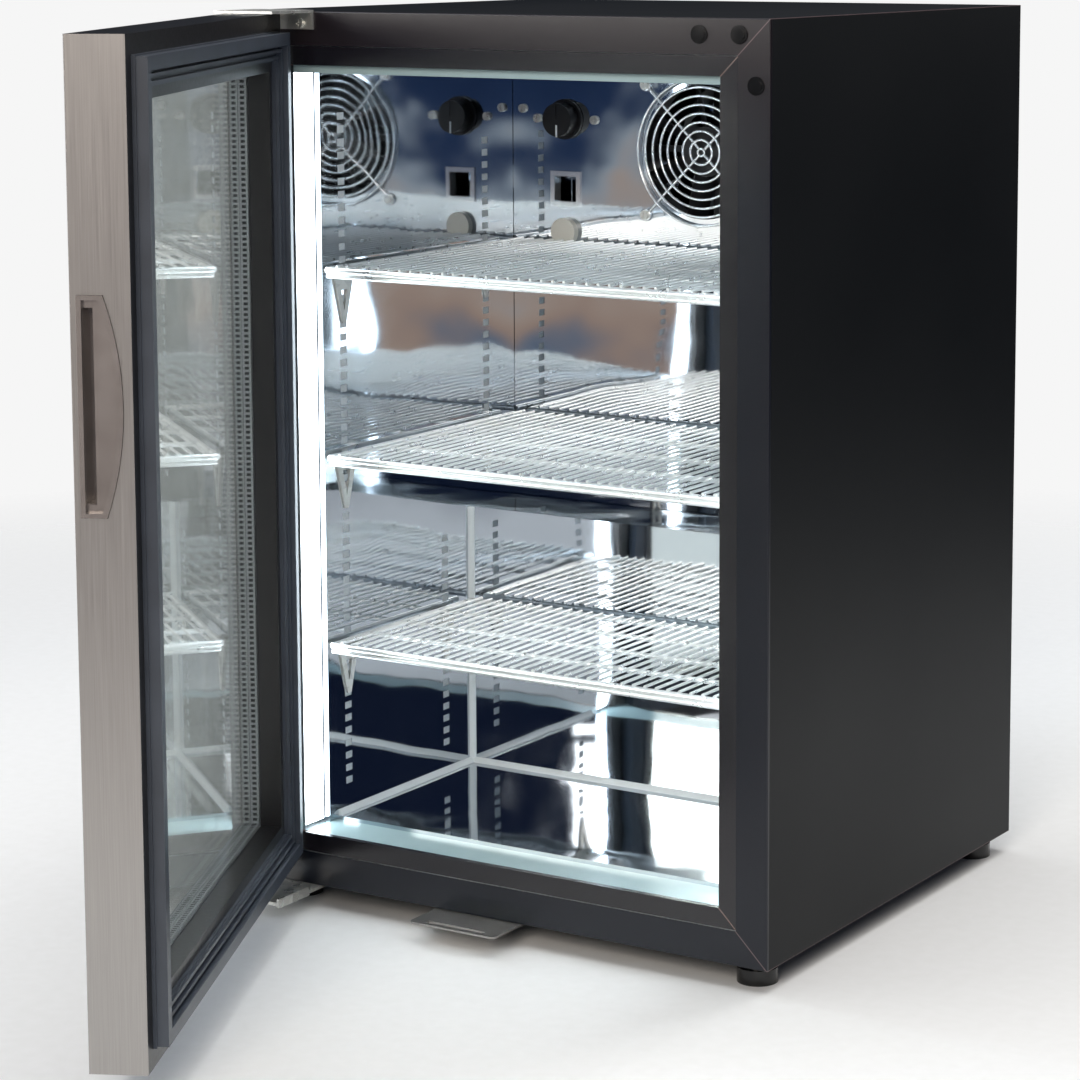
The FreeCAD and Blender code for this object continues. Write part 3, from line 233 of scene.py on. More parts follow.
# The painted highlight along each mitre seam is about 0.7 mm wide, and fades out at its rim.
seam_core, seam_rim = 0.0003, 0.0007
powder_coat = start_finish("black_powder_coat")
where = add_node(powder_coat, "ShaderNodeTexCoord")
# Baked powder flows into a pebbled skin about 1.2 mm across.
pebble = add_node(powder_coat, "ShaderNodeTexNoise",
                  {"Scale": 800.0, "Detail": 2.0, "Roughness": 0.5},
                  {"Vector": where.outputs["Object"]})
drift = add_node(powder_coat, "ShaderNodeTexNoise", {"Scale": 5.0, "Detail": 4.0},
                 {"Vector": where.outputs["Object"]})
tone = add_node(powder_coat, "ShaderNodeMix",
                {"data_type": "RGBA", 6: srgb("#04070A"), 7: srgb("#080B0F")},
                {0: drift.outputs["Fac"]})
gloss = add_node(powder_coat, "ShaderNodeMapRange", {"To Min": 0.40, "To Max": 0.52},
                 {"Value": drift.outputs["Fac"]})
relief = add_node(powder_coat, "ShaderNodeBump", {"Strength": 0.12, "Distance": 0.0004},
                  {"Height": pebble.outputs["Fac"]})
# The front flanges, which are all that lies ahead of y = 12.5 mm, are made glossier, and their
# colour is a painted sheen: brown along the top and navy elsewhere.
flange_back, sheen_brown_from, sheen_brown_to = 0.0125, 0.56, 0.66
spot = add_node(powder_coat, "ShaderNodeSeparateXYZ", links={"Vector": where.outputs["Object"]})
front = add_node(powder_coat, "ShaderNodeMath", {"operation": "LESS_THAN", 1: flange_back},
                 {0: spot.outputs["Y"]})
high = add_node(powder_coat, "ShaderNodeMapRange", {"From Min": sheen_brown_from, "From Max": sheen_brown_to},
                {"Value": spot.outputs["Z"]})
# Painted sheen on the flanges: brown along the top, navy elsewhere.
painted_flange_sheen = add_node(powder_coat, "ShaderNodeMix",
                  {"data_type": "RGBA", 6: srgb("#0A0F1B"), 7: srgb("#1C171B")},
                  {0: high.outputs["Result"]})
colour = add_node(powder_coat, "ShaderNodeMix", {"data_type": "RGBA"},
                  {0: front.outputs["Value"], 6: tone.outputs[2], 7: painted_flange_sheen.outputs[2]})
# The mitre seams get a lighter line, a painted highlight along each joint.
seam_highlight = mitre_highlight(powder_coat, spot)
seam_highlit = add_node(powder_coat, "ShaderNodeMix", {"data_type": "RGBA", 7: srgb("#6B5A5C")},
                 {0: seam_highlight, 6: colour.outputs[2]})
shine = add_node(powder_coat, "ShaderNodeMapRange", {"To Min": 0.2, "To Max": 0.5},
                 {"Value": front.outputs["Value"]})
sleek = add_node(powder_coat, "ShaderNodeMath", {"operation": "MULTIPLY_ADD", 1: -0.16},
                 {0: front.outputs["Value"], 2: gloss.outputs["Result"]})
coat = add_node(powder_coat, "ShaderNodeBsdfPrincipled", {},
                {"Base Color": seam_highlit.outputs[2], "Roughness": sleek.outputs["Value"],
                 "Normal": relief.outputs["Normal"],
                 "Specular IOR Level": shine.outputs["Result"]})
add_node(powder_coat, "ShaderNodeOutputMaterial", links={"Surface": coat.outputs["BSDF"]})
finish_nodes(powder_coat, "left_side_panel", "right_side_panel", "top_panel", "base_pan")


# Inner trim round the opening: four mitred lengths of the same sheet, sprayed a little glossier
# than the shell; its warmer, lighter black is partly painted brown sheen beside the blue sides.
trim_paint = start_finish("black_satin_enamel")
where = add_node(trim_paint, "ShaderNodeTexCoord")
pebble = add_node(trim_paint, "ShaderNodeTexNoise", {"Scale": 650.0, "Detail": 2.0},
                  {"Vector": where.outputs["Object"]})
drift = add_node(trim_paint, "ShaderNodeTexNoise", {"Scale": 9.0, "Detail": 3.0},
                 {"Vector": where.outputs["Object"]})
# Warmer and lighter than the shell, partly as painted sheen.
tone = add_node(trim_paint, "ShaderNodeMix",
                {"data_type": "RGBA", 6: srgb("#0E0D14"), 7: srgb("#17141A")},
                {0: drift.outputs["Fac"]})
relief = add_node(trim_paint, "ShaderNodeBump", {"Strength": 0.15, "Distance": 0.0004},
                  {"Height": pebble.outputs["Fac"]})
spot = add_node(trim_paint, "ShaderNodeSeparateXYZ", links={"Vector": where.outputs["Object"]})
# The mitre seams get a lighter line, a painted highlight along each joint.
seam_highlight = mitre_highlight(trim_paint, spot)
seam_highlit = add_node(trim_paint, "ShaderNodeMix", {"data_type": "RGBA", 7: srgb("#7A6660")},
                 {0: seam_highlight, 6: tone.outputs[2]})
coat = add_node(trim_paint, "ShaderNodeBsdfPrincipled",
                {"IOR": 1.5, "Roughness": 0.27, "Coat Weight": 0.4, "Coat Roughness": 0.2},
                {"Base Color": seam_highlit.outputs[2], "Normal": relief.outputs["Normal"]})
add_node(trim_paint, "ShaderNodeOutputMaterial", links={"Surface": coat.outputs["BSDF"]})
finish_nodes(trim_paint, "trim_left", "trim_right", "trim_top", "trim_bottom")


# Back panel and machine grille: zinc-coated sheet left bare, with the dull grey spangle that
# hot-dip zinc leaves. The hinge brackets, shelf clips and screws have the same coat.
zinc_coat = start_finish("zinc_plated_steel")
where = add_node(zinc_coat, "ShaderNodeTexCoord")
# The crystals of the zinc are about 7 mm across.
spangle = add_node(zinc_coat, "ShaderNodeTexVoronoi", {"Scale": 140.0},
                   {"Vector": where.outputs["Object"]})
grey = add_node(zinc_coat, "ShaderNodeSeparateColor", links={"Color": spangle.outputs["Color"]})
tone = add_node(zinc_coat, "ShaderNodeMix",
                {"data_type": "RGBA", 6: srgb("#C9C9C4"), 7: srgb("#E2E2DC")},
                {0: grey.outputs["Red"]})
gloss = add_node(zinc_coat, "ShaderNodeMapRange", {"To Min": 0.26, "To Max": 0.42},
                 {"Value": grey.outputs["Green"]})
plating = add_node(zinc_coat, "ShaderNodeBsdfPrincipled", {"Metallic": 0.8},
                   {"Base Color": tone.outputs[2], "Roughness": gloss.outputs["Result"]})
add_node(zinc_coat, "ShaderNodeOutputMaterial", links={"Surface": plating.outputs["BSDF"]})
finish_nodes(zinc_coat, "back_panel", "rear_grille", "top_hinge_bracket", "bottom_hinge_bracket",
             "screws", "shelf_clips")


# Caps of the spare hinge holes, and feet: injection-moulded nylon, black and glossy, with faint
# flow marks. The caps push in, and the feet are fixed under the base pan.
black_nylon = start_finish("moulded_black_nylon")
where = add_node(black_nylon, "ShaderNodeTexCoord")
flow = add_node(black_nylon, "ShaderNodeTexNoise", {"Scale": 120.0, "Detail": 3.0},
                {"Vector": where.outputs["Object"]})
gloss = add_node(black_nylon, "ShaderNodeMapRange", {"To Min": 0.08, "To Max": 0.2},
                 {"Value": flow.outputs["Fac"]})
relief = add_node(black_nylon, "ShaderNodeBump", {"Strength": 0.1, "Distance": 0.0003},
                  {"Height": flow.outputs["Fac"]})
nylon = add_node(black_nylon, "ShaderNodeBsdfPrincipled",
                 {"Base Color": srgb("#0A0A0C"), "IOR": 1.53},
                 {"Roughness": gloss.outputs["Result"], "Normal": relief.outputs["Normal"]})
add_node(black_nylon, "ShaderNodeOutputMaterial", links={"Surface": nylon.outputs["BSDF"]})
finish_nodes(black_nylon, "hinge_hole_plugs", "feet")


# Liner: walls, floor, ceiling, step and back of thin stainless sheet polished to a mirror. The
# sheet isn't quite flat, so what it mirrors wavers.
mirror_steel = start_finish("mirror_polished_stainless")
where = add_node(mirror_steel, "ShaderNodeTexCoord")
# Oil-canning of the thin sheet: low swells about 110 mm across.
swell = add_node(mirror_steel, "ShaderNodeTexNoise",
                 {"Scale": 9.0, "Detail": 1.5, "Roughness": 0.4},
                 {"Vector": where.outputs["Object"]})
haze = add_node(mirror_steel, "ShaderNodeTexNoise", {"Scale": 40.0, "Detail": 3.0},
                {"Vector": where.outputs["Object"]})
gloss = add_node(mirror_steel, "ShaderNodeMapRange", {"To Min": 0.015, "To Max": 0.07},
                 {"Value": haze.outputs["Fac"]})
relief = add_node(mirror_steel, "ShaderNodeBump", {"Strength": 0.35, "Distance": 0.004},
                  {"Height": swell.outputs["Fac"]})
polish = add_node(mirror_steel, "ShaderNodeBsdfPrincipled",
                  {"Metallic": 1.0, "Base Color": srgb("#C3C9CF")},
                  {"Roughness": gloss.outputs["Result"], "Normal": relief.outputs["Normal"]})
add_node(mirror_steel, "ShaderNodeOutputMaterial", links={"Surface": polish.outputs["BSDF"]})
finish_nodes(mirror_steel, "liner_left_wall", "liner_right_wall", "liner_ceiling", "liner_floor",
             "liner_hump", "liner_back_wall", "evaporator_cover")


# Breaker strips between trim and liner: satin vinyl in a pale grey-green, which stops the cold
# of the liner from reaching the painted frame. They take a soft glow from the light bars.
pale_vinyl = start_finish("satin_white_vinyl")
where = add_node(pale_vinyl, "ShaderNodeTexCoord")
cloud = add_node(pale_vinyl, "ShaderNodeTexNoise", {"Scale": 22.0, "Detail": 3.0},
                 {"Vector": where.outputs["Object"]})
tone = add_node(pale_vinyl, "ShaderNodeMix",
                {"data_type": "RGBA", 6: srgb("#8FA9AC"), 7: srgb("#A9BEC0")},
                {0: cloud.outputs["Fac"]})
body = add_node(pale_vinyl, "ShaderNodeBsdfPrincipled", {"Roughness": 0.28},
                {"Base Color": tone.outputs[2]})
add_node(pale_vinyl, "ShaderNodeOutputMaterial", links={"Surface": body.outputs["BSDF"]})
finish_nodes(pale_vinyl, "breaker_strips")


# Sealant in the liner's corners: a bead of white food-grade silicone smoothed into each joint
# between floor, walls and step, about 4 mm wide, slightly sunk like a finger-wiped fillet.
silicone = start_finish("white_silicone_sealant")
where = add_node(silicone, "ShaderNodeTexCoord")
ripple = add_node(silicone, "ShaderNodeTexNoise", {"Scale": 160.0, "Detail": 2.0},
                  {"Vector": where.outputs["Object"]})
relief = add_node(silicone, "ShaderNodeBump", {"Strength": 0.3, "Distance": 0.0006},
                  {"Height": ripple.outputs["Fac"]})
skin = add_node(silicone, "ShaderNodeBsdfPrincipled",
                {"Base Color": srgb("#EAF2F4"), "Roughness": 0.3, "Subsurface Weight": 0.15,
                 "Subsurface Radius": (0.002, 0.002, 0.002)},
                {"Normal": relief.outputs["Normal"]})
add_node(silicone, "ShaderNodeOutputMaterial", links={"Surface": skin.outputs["BSDF"]})
floor_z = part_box("liner_floor")[1].z
step_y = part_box("liner_hump")[0].y
step_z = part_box("liner_hump")[1].z
floor_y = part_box("liner_floor")[0].y


def lay_bead(name, low, high, free_edge):
    """Fills the box from low to high with sealant, and hollows the edge of it nearest free_edge."""
    bpy.ops.object.select_all(action="DESELECT")
    middle, size = (Vector(low) + Vector(high)) / 2, Vector(high) - Vector(low)
    bpy.ops.mesh.primitive_cube_add(size=1.0, location=middle, scale=size)
    bead = bpy.context.object
    bead.name = name
    bpy.ops.object.transform_apply(location=True, rotation=True, scale=True)
    long = max(range(3), key=lambda axis: size[axis])
    short = [axis for axis in range(3) if axis != long]
    bpy.ops.object.mode_set(mode="EDIT")
    bpy.ops.mesh.select_all(action="DESELECT")
    bpy.ops.object.mode_set(mode="OBJECT")
    for edge in bead.data.edges:
        ends = [bead.data.vertices[number].co for number in edge.vertices]
        edge.select = all(
            abs(end[axis] - free_edge[axis]) < near_enough for end in ends for axis in short
        )
    bpy.ops.object.mode_set(mode="EDIT")
    bpy.ops.mesh.select_mode(type="EDGE")
    bpy.ops.mesh.bevel(offset=bead_hollow, offset_type="OFFSET", segments=5, profile=0.3)
    bpy.ops.mesh.select_all(action="SELECT")
    bpy.ops.mesh.normals_make_consistent(inside=False)
    bpy.ops.object.mode_set(mode="OBJECT")
    bpy.ops.object.shade_smooth_by_angle(angle=math.radians(40))
    bead.data.materials.append(silicone)
    bead.select_set(False)
    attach(bead, "cabinet")


bead_width, bead_hollow, near_enough = 0.004, 0.0036, 0.0002
wall, bead_edge, step_end = 0.1817, 0.1777, 0.1812
front_end, back_end = floor_y + 0.002, step_y - 0.0003
step_front, crest = step_y - bead_width, floor_z + bead_width
lay_bead("sealant_floor_left", (-wall, front_end, floor_z), (-bead_edge, back_end, crest),
         (-bead_edge, front_end, crest))
lay_bead("sealant_floor_right", (bead_edge, front_end, floor_z), (wall, back_end, crest),
         (bead_edge, front_end, crest))
lay_bead("sealant_floor_step", (-step_end, step_front, floor_z), (step_end, step_y, crest),
         (0.0, step_front, crest))
lay_bead("sealant_step_left", (-wall, step_front, floor_z), (-bead_edge, step_y, step_z),
         (-bead_edge, step_front, 0.0))
lay_bead("sealant_step_right", (bead_edge, step_front, floor_z), (wall, step_y, step_z),
         (bead_edge, step_front, 0.0))


# Light bars: an aluminium channel screwed in each front corner of the liner, with a snapped-in
# milky lens that glows an even cold white from the diodes behind it.
cool_light = start_finish("lit_milky_diffuser")
where = add_node(cool_light, "ShaderNodeTexCoord")
grain = add_node(cool_light, "ShaderNodeTexNoise", {"Scale": 300.0, "Detail": 2.0},
                 {"Vector": where.outputs["Object"]})
milk = add_node(cool_light, "ShaderNodeMix",
                {"data_type": "RGBA", 6: srgb("#E6F6FF"), 7: srgb("#F4FBFF")},
                {0: grain.outputs["Fac"]})
lens = add_node(cool_light, "ShaderNodeBsdfPrincipled",
                {"Base Color": srgb("#F2F8FC"), "Roughness": 0.35, "Emission Strength": 11.0},
                {"Emission Color": milk.outputs[2]})
add_node(cool_light, "ShaderNodeOutputMaterial", links={"Surface": lens.outputs["BSDF"]})
finish_nodes(cool_light, "light_lenses")

bare_aluminium = start_finish("mill_finish_aluminium")
where = add_node(bare_aluminium, "ShaderNodeTexCoord")
# Extrusion lines run the length of the bar, about 0.5 mm apart.
stretch = add_node(bare_aluminium, "ShaderNodeMapping", {"Scale": (1.0, 1.0, 0.01)},
                   {"Vector": where.outputs["Object"]})
lines = add_node(bare_aluminium, "ShaderNodeTexNoise", {"Scale": 1900.0, "Detail": 2.0},
                 {"Vector": stretch.outputs["Vector"]})
relief = add_node(bare_aluminium, "ShaderNodeBump", {"Strength": 0.15, "Distance": 0.0003},
                  {"Height": lines.outputs["Fac"]})
metal = add_node(bare_aluminium, "ShaderNodeBsdfPrincipled",
                 {"Metallic": 1.0, "Base Color": srgb("#CDCED0"), "Roughness": 0.32},
                 {"Normal": relief.outputs["Normal"]})
add_node(bare_aluminium, "ShaderNodeOutputMaterial", links={"Surface": metal.outputs["BSDF"]})
finish_nodes(bare_aluminium, "light_channels", "evaporator_coil")


# Insulation: rigid foam blown between shell and liner, pale grey with small closed cells. It
# shows only through the slots in the side walls.
foam = start_finish("blown_rigid_foam")
where = add_node(foam, "ShaderNodeTexCoord")
cells = add_node(foam, "ShaderNodeTexVoronoi", {"Scale": 700.0},
                 {"Vector": where.outputs["Object"]})
tone = add_node(foam, "ShaderNodeMix",
                {"data_type": "RGBA", 6: srgb("#D5DADB"), 7: srgb("#B3BDC4")},
                {0: cells.outputs["Distance"]})
body = add_node(foam, "ShaderNodeBsdfPrincipled", {"Roughness": 0.9},
                {"Base Color": tone.outputs[2]})
add_node(foam, "ShaderNodeOutputMaterial", links={"Surface": body.outputs["BSDF"]})
finish_nodes(foam, "insulation")


# Fan guard, return-air bezel and lock barrel: bright chromium plate over steel wire and zinc,
# almost a mirror, with the faint ripple of drawn wire under it.
chrome_plate = start_finish("bright_chrome_plate")
where = add_node(chrome_plate, "ShaderNodeTexCoord")
ripple = add_node(chrome_plate, "ShaderNodeTexNoise", {"Scale": 500.0, "Detail": 2.0},
                  {"Vector": where.outputs["Object"]})
gloss = add_node(chrome_plate, "ShaderNodeMapRange", {"To Min": 0.06, "To Max": 0.14},
                 {"Value": ripple.outputs["Fac"]})
plate = add_node(chrome_plate, "ShaderNodeBsdfPrincipled",
                 {"Metallic": 0.85, "Base Color": srgb("#EDEFF0")},
                 {"Roughness": gloss.outputs["Result"]})
add_node(chrome_plate, "ShaderNodeOutputMaterial", links={"Surface": plate.outputs["BSDF"]})
finish_nodes(chrome_plate, "fan_guard", "return_air_bezel", "lock_barrel")


# Fan frame and rotor, thermostat knob and power inlet: moulded from glass-filled black nylon,
# matt with a fine grain from the mould. The knob presses on to its shaft.
black_moulding = start_finish("matt_black_moulding")
where = add_node(black_moulding, "ShaderNodeTexCoord")
grain = add_node(black_moulding, "ShaderNodeTexNoise", {"Scale": 1400.0, "Detail": 2.0},
                 {"Vector": where.outputs["Object"]})
relief = add_node(black_moulding, "ShaderNodeBump", {"Strength": 0.2, "Distance": 0.0003},
                  {"Height": grain.outputs["Fac"]})
body = add_node(black_moulding, "ShaderNodeBsdfPrincipled",
                {"Base Color": srgb("#0E0E10"), "Roughness": 0.42},
                {"Normal": relief.outputs["Normal"]})
add_node(black_moulding, "ShaderNodeOutputMaterial", links={"Surface": body.outputs["BSDF"]})
finish_nodes(black_moulding, "fan_frame", "fan_rotor", "thermostat_knob", "power_inlet")

# A white rib across the lower half of the knob's face: a painted highlight on its lower rim.
rim_highlight_finish = start_finish("painted_rim_highlight")
where = add_node(rim_highlight_finish, "ShaderNodeTexCoord")
speck = add_node(rim_highlight_finish, "ShaderNodeTexNoise", {"Scale": 600.0, "Detail": 2.0},
                 {"Vector": where.outputs["Object"]})
tone = add_node(rim_highlight_finish, "ShaderNodeMix",
                {"data_type": "RGBA", 6: srgb("#D6DADB"), 7: srgb("#F2F4F4")},
                {0: speck.outputs["Fac"]})
body = add_node(rim_highlight_finish, "ShaderNodeBsdfPrincipled", {"Roughness": 0.45},
                {"Base Color": tone.outputs[2]})
add_node(rim_highlight_finish, "ShaderNodeOutputMaterial", links={"Surface": body.outputs["BSDF"]})
knob_low, knob_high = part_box("thermostat_knob")
knob_middle = (knob_low + knob_high) / 2
knob_reach = (knob_high.z - knob_low.z) / 2
rib_width, rib_proud = 0.0016, 0.0010
rib_drop, rib_length = knob_reach * 0.55, knob_reach * 0.6
rib_middle = (knob_middle.x, knob_low.y, knob_middle.z - rib_drop)
bpy.ops.object.select_all(action="DESELECT")
bpy.ops.mesh.primitive_cube_add(size=1.0, location=rib_middle,
                                scale=(rib_width, rib_proud, rib_length))
rim_highlight_rib = bpy.context.object
rim_highlight_rib.name = "knob_rim_highlight"
bpy.ops.object.transform_apply(location=True, rotation=True, scale=True)
bpy.ops.object.mode_set(mode="EDIT")
bpy.ops.mesh.select_all(action="SELECT")
bpy.ops.mesh.bevel(offset=0.0003, segments=2)
bpy.ops.object.mode_set(mode="OBJECT")
rim_highlight_rib.data.materials.append(rim_highlight_finish)
rim_highlight_rib.select_set(False)
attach(rim_highlight_rib, "thermostat_knob")


# Thermostat body, cap of the cover's round hole, and hinge bushes: moulded acetal in a warm
# light grey. The cap snaps into its hole, and the hinge pins turn in the bushes.
grey_acetal = start_finish("light_grey_acetal")
where = add_node(grey_acetal, "ShaderNodeTexCoord")
grain = add_node(grey_acetal, "ShaderNodeTexNoise", {"Scale": 900.0, "Detail": 2.0},
                 {"Vector": where.outputs["Object"]})
relief = add_node(grey_acetal, "ShaderNodeBump", {"Strength": 0.12, "Distance": 0.0003},
                  {"Height": grain.outputs["Fac"]})
body = add_node(grey_acetal, "ShaderNodeBsdfPrincipled",
                {"Base Color": srgb("#D2D1C8"), "Roughness": 0.3},
                {"Normal": relief.outputs["Normal"]})
add_node(grey_acetal, "ShaderNodeOutputMaterial", links={"Surface": body.outputs["BSDF"]})
finish_nodes(grey_acetal, "thermostat_body", "cover_hole_cap", "hinge_bushes")


# Shelves: drawn steel wire, resistance welded and plated bright, so each wire takes a white
# line of light along it.
plated_wire = start_finish("bright_nickel_wire")
where = add_node(plated_wire, "ShaderNodeTexCoord")
dull = add_node(plated_wire, "ShaderNodeTexNoise", {"Scale": 60.0, "Detail": 3.0},
                {"Vector": where.outputs["Object"]})
gloss = add_node(plated_wire, "ShaderNodeMapRange", {"To Min": 0.22, "To Max": 0.36},
                 {"Value": dull.outputs["Fac"]})
plate = add_node(plated_wire, "ShaderNodeBsdfPrincipled",
                 {"Metallic": 0.8, "Base Color": srgb("#F2F5F5")},
                 {"Roughness": gloss.outputs["Result"]})
add_node(plated_wire, "ShaderNodeOutputMaterial", links={"Surface": plate.outputs["BSDF"]})
finish_nodes(plated_wire, "shelf_top", "shelf_middle", "shelf_bottom")


# Compressor and condenser: steel, stove-enamelled black, with an uneven gloss. They stand in the
# machine space behind the liner's step.
machine_enamel = start_finish("black_stove_enamel")
where = add_node(machine_enamel, "ShaderNodeTexCoord")
drift = add_node(machine_enamel, "ShaderNodeTexNoise", {"Scale": 60.0, "Detail": 4.0},
                 {"Vector": where.outputs["Object"]})
gloss = add_node(machine_enamel, "ShaderNodeMapRange", {"To Min": 0.25, "To Max": 0.45},
                 {"Value": drift.outputs["Fac"]})
body = add_node(machine_enamel, "ShaderNodeBsdfPrincipled", {"Base Color": srgb("#101112")},
                {"Roughness": gloss.outputs["Result"]})
add_node(machine_enamel, "ShaderNodeOutputMaterial", links={"Surface": body.outputs["BSDF"]})
finish_nodes(machine_enamel, "compressor", "condenser")


# Door gasket and compressor mounts: dark grey rubber with a faint bloom, satin. The gasket is
# extruded with ribs and pushed into a groove of the door profiles.
soft_rubber = start_finish("extruded_grey_rubber")
where = add_node(soft_rubber, "ShaderNodeTexCoord")
bloom = add_node(soft_rubber, "ShaderNodeTexNoise", {"Scale": 35.0, "Detail": 4.0},
                 {"Vector": where.outputs["Object"]})
tone = add_node(soft_rubber, "ShaderNodeMix",
                {"data_type": "RGBA", 6: srgb("#30353D"), 7: srgb("#474E59")},
                {0: bloom.outputs["Fac"]})
body = add_node(soft_rubber, "ShaderNodeBsdfPrincipled", {"Roughness": 0.36},
                {"Base Color": tone.outputs[2]})
add_node(soft_rubber, "ShaderNodeOutputMaterial", links={"Surface": body.outputs["BSDF"]})
finish_nodes(soft_rubber, "compressor_mounts", "door_gasket")


# Door skins, strike plate and lock core: stainless sheet with a belt-brushed grain that runs up
# and down, warm grey, which spreads each light into a soft upright streak.
brushed_steel = start_finish("belt_brushed_stainless")
where = add_node(brushed_steel, "ShaderNodeTexCoord")
# Brush lines are drawn 0.7 mm apart, coarser than the real grit, so that they show.
stretch = add_node(brushed_steel, "ShaderNodeMapping", {"Scale": (1.0, 1.0, 0.012)},
                   {"Vector": where.outputs["Object"]})
lines = add_node(brushed_steel, "ShaderNodeTexNoise",
                 {"Scale": 1400.0, "Detail": 3.0, "Roughness": 0.6},
                 {"Vector": stretch.outputs["Vector"]})
tone = add_node(brushed_steel, "ShaderNodeMix",
                {"data_type": "RGBA", 6: srgb("#928F8C"), 7: srgb("#ACA9A6")},
                {0: lines.outputs["Fac"]})
gloss = add_node(brushed_steel, "ShaderNodeMapRange", {"To Min": 0.26, "To Max": 0.42},
                 {"Value": lines.outputs["Fac"]})
relief = add_node(brushed_steel, "ShaderNodeBump", {"Strength": 0.12, "Distance": 0.0003},
                  {"Height": lines.outputs["Fac"]})
metal = add_node(brushed_steel, "ShaderNodeBsdfPrincipled", {"Metallic": 0.85},
                 {"Base Color": tone.outputs[2], "Roughness": gloss.outputs["Result"],
                  "Normal": relief.outputs["Normal"]})
add_node(brushed_steel, "ShaderNodeOutputMaterial", links={"Surface": metal.outputs["BSDF"]})
finish_nodes(brushed_steel, "door_skin_left", "door_skin_right", "door_skin_top",
             "door_skin_bottom", "lock_strike_plate", "lock_core")


# Door profiles: extrusions of black rigid PVC, mitred and welded at the corners, satin with
# faint draw lines. They hold the panes and carry the skins.
black_pvc = start_finish("extruded_black_pvc")
where = add_node(black_pvc, "ShaderNodeTexCoord")
draw = add_node(black_pvc, "ShaderNodeTexNoise", {"Scale": 320.0, "Detail": 2.0},
                {"Vector": where.outputs["Object"]})
gloss = add_node(black_pvc, "ShaderNodeMapRange", {"To Min": 0.26, "To Max": 0.38},
                 {"Value": draw.outputs["Fac"]})
body = add_node(black_pvc, "ShaderNodeBsdfPrincipled", {"Base Color": srgb("#101013"), "IOR": 1.53},
                {"Roughness": gloss.outputs["Result"]})
add_node(black_pvc, "ShaderNodeOutputMaterial", links={"Surface": body.outputs["BSDF"]})
finish_nodes(black_pvc, "door_profile_left", "door_profile_right", "door_profile_top",
             "door_profile_bottom")


# Glass panes: three sheets of clear float glass sealed into one unit, with a very faint green.
# A thin film left by wiping softens their reflections a little.
float_glass = start_finish("clear_float_glass")
where = add_node(float_glass, "ShaderNodeTexCoord")
film = add_node(float_glass, "ShaderNodeTexNoise", {"Scale": 14.0, "Detail": 4.0},
                {"Vector": where.outputs["Object"]})
gloss = add_node(float_glass, "ShaderNodeMapRange", {"To Min": 0.0, "To Max": 0.03},
                 {"Value": film.outputs["Fac"]})
pane = add_node(float_glass, "ShaderNodeBsdfPrincipled",
                {"Base Color": srgb("#FBFEFD"), "IOR": 1.45, "Transmission Weight": 1.0},
                {"Roughness": gloss.outputs["Result"]})
add_node(float_glass, "ShaderNodeOutputMaterial", links={"Surface": pane.outputs["BSDF"]})
finish_nodes(float_glass, "glass_outer_pane", "glass_middle_pane", "glass_inner_pane")


# Spacers between the panes: bent aluminium box section with two rows of breather holes, through
# which the drying beads take up damp.
breather_bar = start_finish("perforated_spacer_aluminium")
where = add_node(breather_bar, "ShaderNodeTexCoord")
# Two lines of holes 4 mm apart, one down the middle of each bar, drawn 3.2 mm by 2.2 mm, which
# is coarser than real ones, so that they show. The door stands open by 64.2 degrees about its
# pin, and the bars lie 9 mm apart, with one 5.3 mm in front of the pin.
pin, bar_offset, bar_pitch = (-0.201, -0.028, 0.0), 0.0053, 0.009
hole_pitch, hole_across, hole_along = 0.004, 0.0032, 0.0022
door_turn = math.radians(64.2)
along_door = (math.cos(door_turn), -math.sin(door_turn), 0.0)
through_door = (math.sin(door_turn), math.cos(door_turn), 0.0)
spot = add_node(breather_bar, "ShaderNodeVectorMath", {"operation": "SUBTRACT", 1: pin},
                {0: where.outputs["Object"]})
depth = add_node(breather_bar, "ShaderNodeVectorMath",
                 {"operation": "DOT_PRODUCT", 1: through_door}, {0: spot.outputs["Vector"]})
reach = add_node(breather_bar, "ShaderNodeVectorMath", {"operation": "DOT_PRODUCT", 1: along_door},
                 {0: spot.outputs["Vector"]})
level = add_node(breather_bar, "ShaderNodeSeparateXYZ", links={"Vector": spot.outputs["Vector"]})
facing = add_node(breather_bar, "ShaderNodeNewGeometry")
lean = add_node(breather_bar, "ShaderNodeSeparateXYZ", links={"Vector": facing.outputs["Normal"]})
steep = add_node(breather_bar, "ShaderNodeMath", {"operation": "ABSOLUTE"}, {0: lean.outputs["Z"]})
flat = add_node(breather_bar, "ShaderNodeMath", {"operation": "GREATER_THAN", 1: 0.5},
                {0: steep.outputs["Value"]})
run = add_node(breather_bar, "ShaderNodeMix", {"data_type": "FLOAT"},
               {0: flat.outputs["Value"], 2: level.outputs["Z"], 3: reach.outputs["Value"]})
shift = add_node(breather_bar, "ShaderNodeMath", {"operation": "ADD", 1: bar_offset},
                 {0: depth.outputs["Value"]})
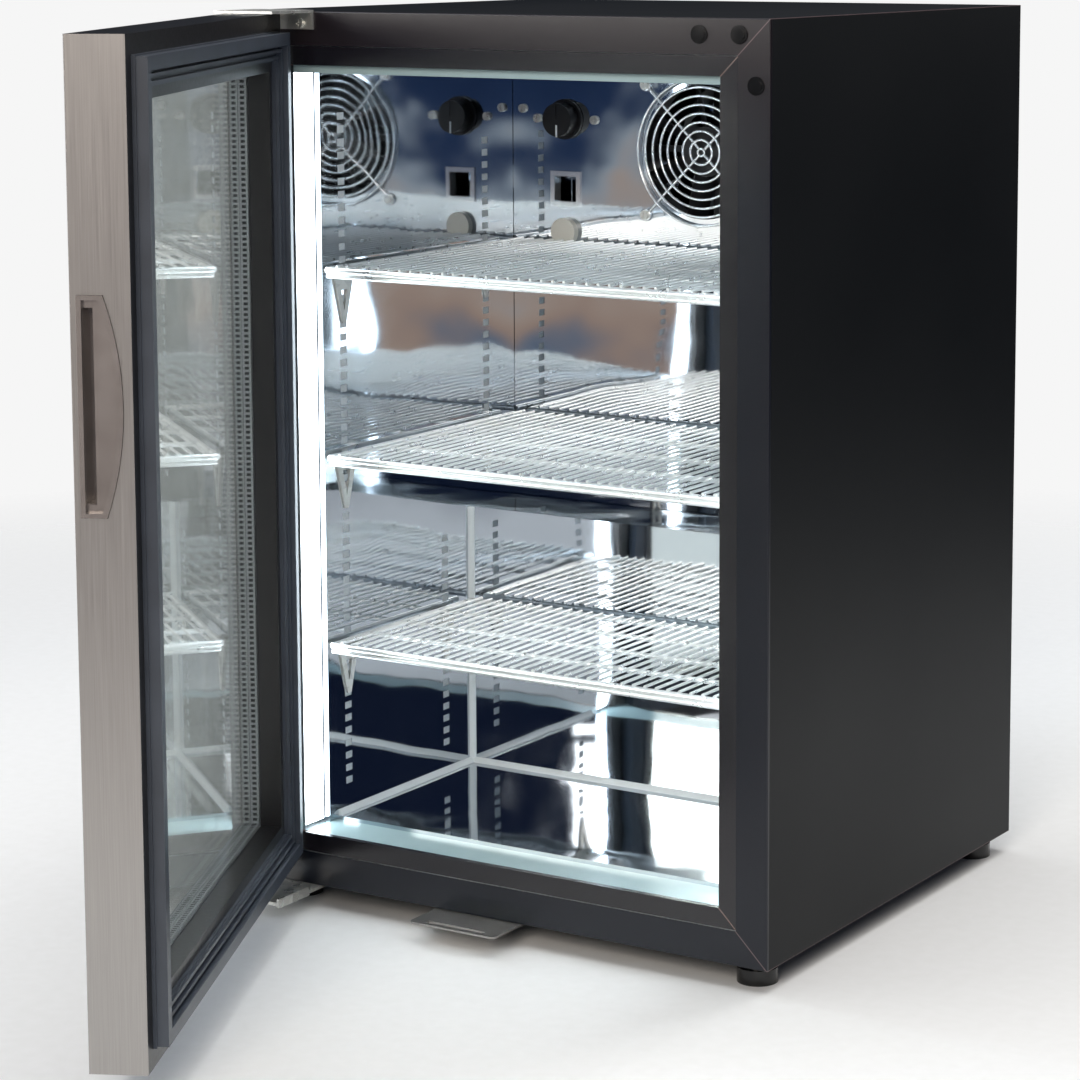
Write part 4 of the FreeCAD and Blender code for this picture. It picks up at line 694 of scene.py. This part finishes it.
across = add_node(breather_bar, "ShaderNodeMath", {"operation": "PINGPONG", 1: bar_pitch / 2},
                  {0: shift.outputs["Value"]})
step = add_node(breather_bar, "ShaderNodeMath", {"operation": "PINGPONG", 1: hole_pitch / 2},
                {0: run.outputs[0]})
in_line = add_node(breather_bar, "ShaderNodeMath", {"operation": "LESS_THAN", 1: hole_across / 2},
                   {0: across.outputs["Value"]})
in_step = add_node(breather_bar, "ShaderNodeMath", {"operation": "LESS_THAN", 1: hole_along / 2},
                   {0: step.outputs["Value"]})
dot = add_node(breather_bar, "ShaderNodeMath", {"operation": "MULTIPLY"},
               {0: in_line.outputs["Value"], 1: in_step.outputs["Value"]})
tone = add_node(breather_bar, "ShaderNodeMix",
                {"data_type": "RGBA", 6: srgb("#E4E7EA"), 7: srgb("#3E4246")},
                {0: dot.outputs["Value"]})
metal = add_node(breather_bar, "ShaderNodeBsdfPrincipled", {"Metallic": 0.5, "Roughness": 0.45},
                 {"Base Color": tone.outputs[2]})
add_node(breather_bar, "ShaderNodeOutputMaterial", links={"Surface": metal.outputs["BSDF"]})
finish_nodes(breather_bar, "glass_spacers")


# Grip recess in the free edge of the door: one moulding, metal-plated to match the skin, with a
# satin gloss that picks up the edge of its bowed flange.
plated_grip = start_finish("satin_plated_grip")
where = add_node(plated_grip, "ShaderNodeTexCoord")
cloud = add_node(plated_grip, "ShaderNodeTexNoise", {"Scale": 70.0, "Detail": 3.0},
                 {"Vector": where.outputs["Object"]})
tone = add_node(plated_grip, "ShaderNodeMix",
                {"data_type": "RGBA", 6: srgb("#938E8A"), 7: srgb("#AEA8A4")},
                {0: cloud.outputs["Fac"]})
gloss = add_node(plated_grip, "ShaderNodeMapRange", {"To Min": 0.2, "To Max": 0.3},
                 {"Value": cloud.outputs["Fac"]})
body = add_node(plated_grip, "ShaderNodeBsdfPrincipled", {"Metallic": 0.85},
                {"Base Color": tone.outputs[2], "Roughness": gloss.outputs["Result"]})
add_node(plated_grip, "ShaderNodeOutputMaterial", links={"Surface": body.outputs["BSDF"]})
finish_nodes(plated_grip, "door_handle_insert")
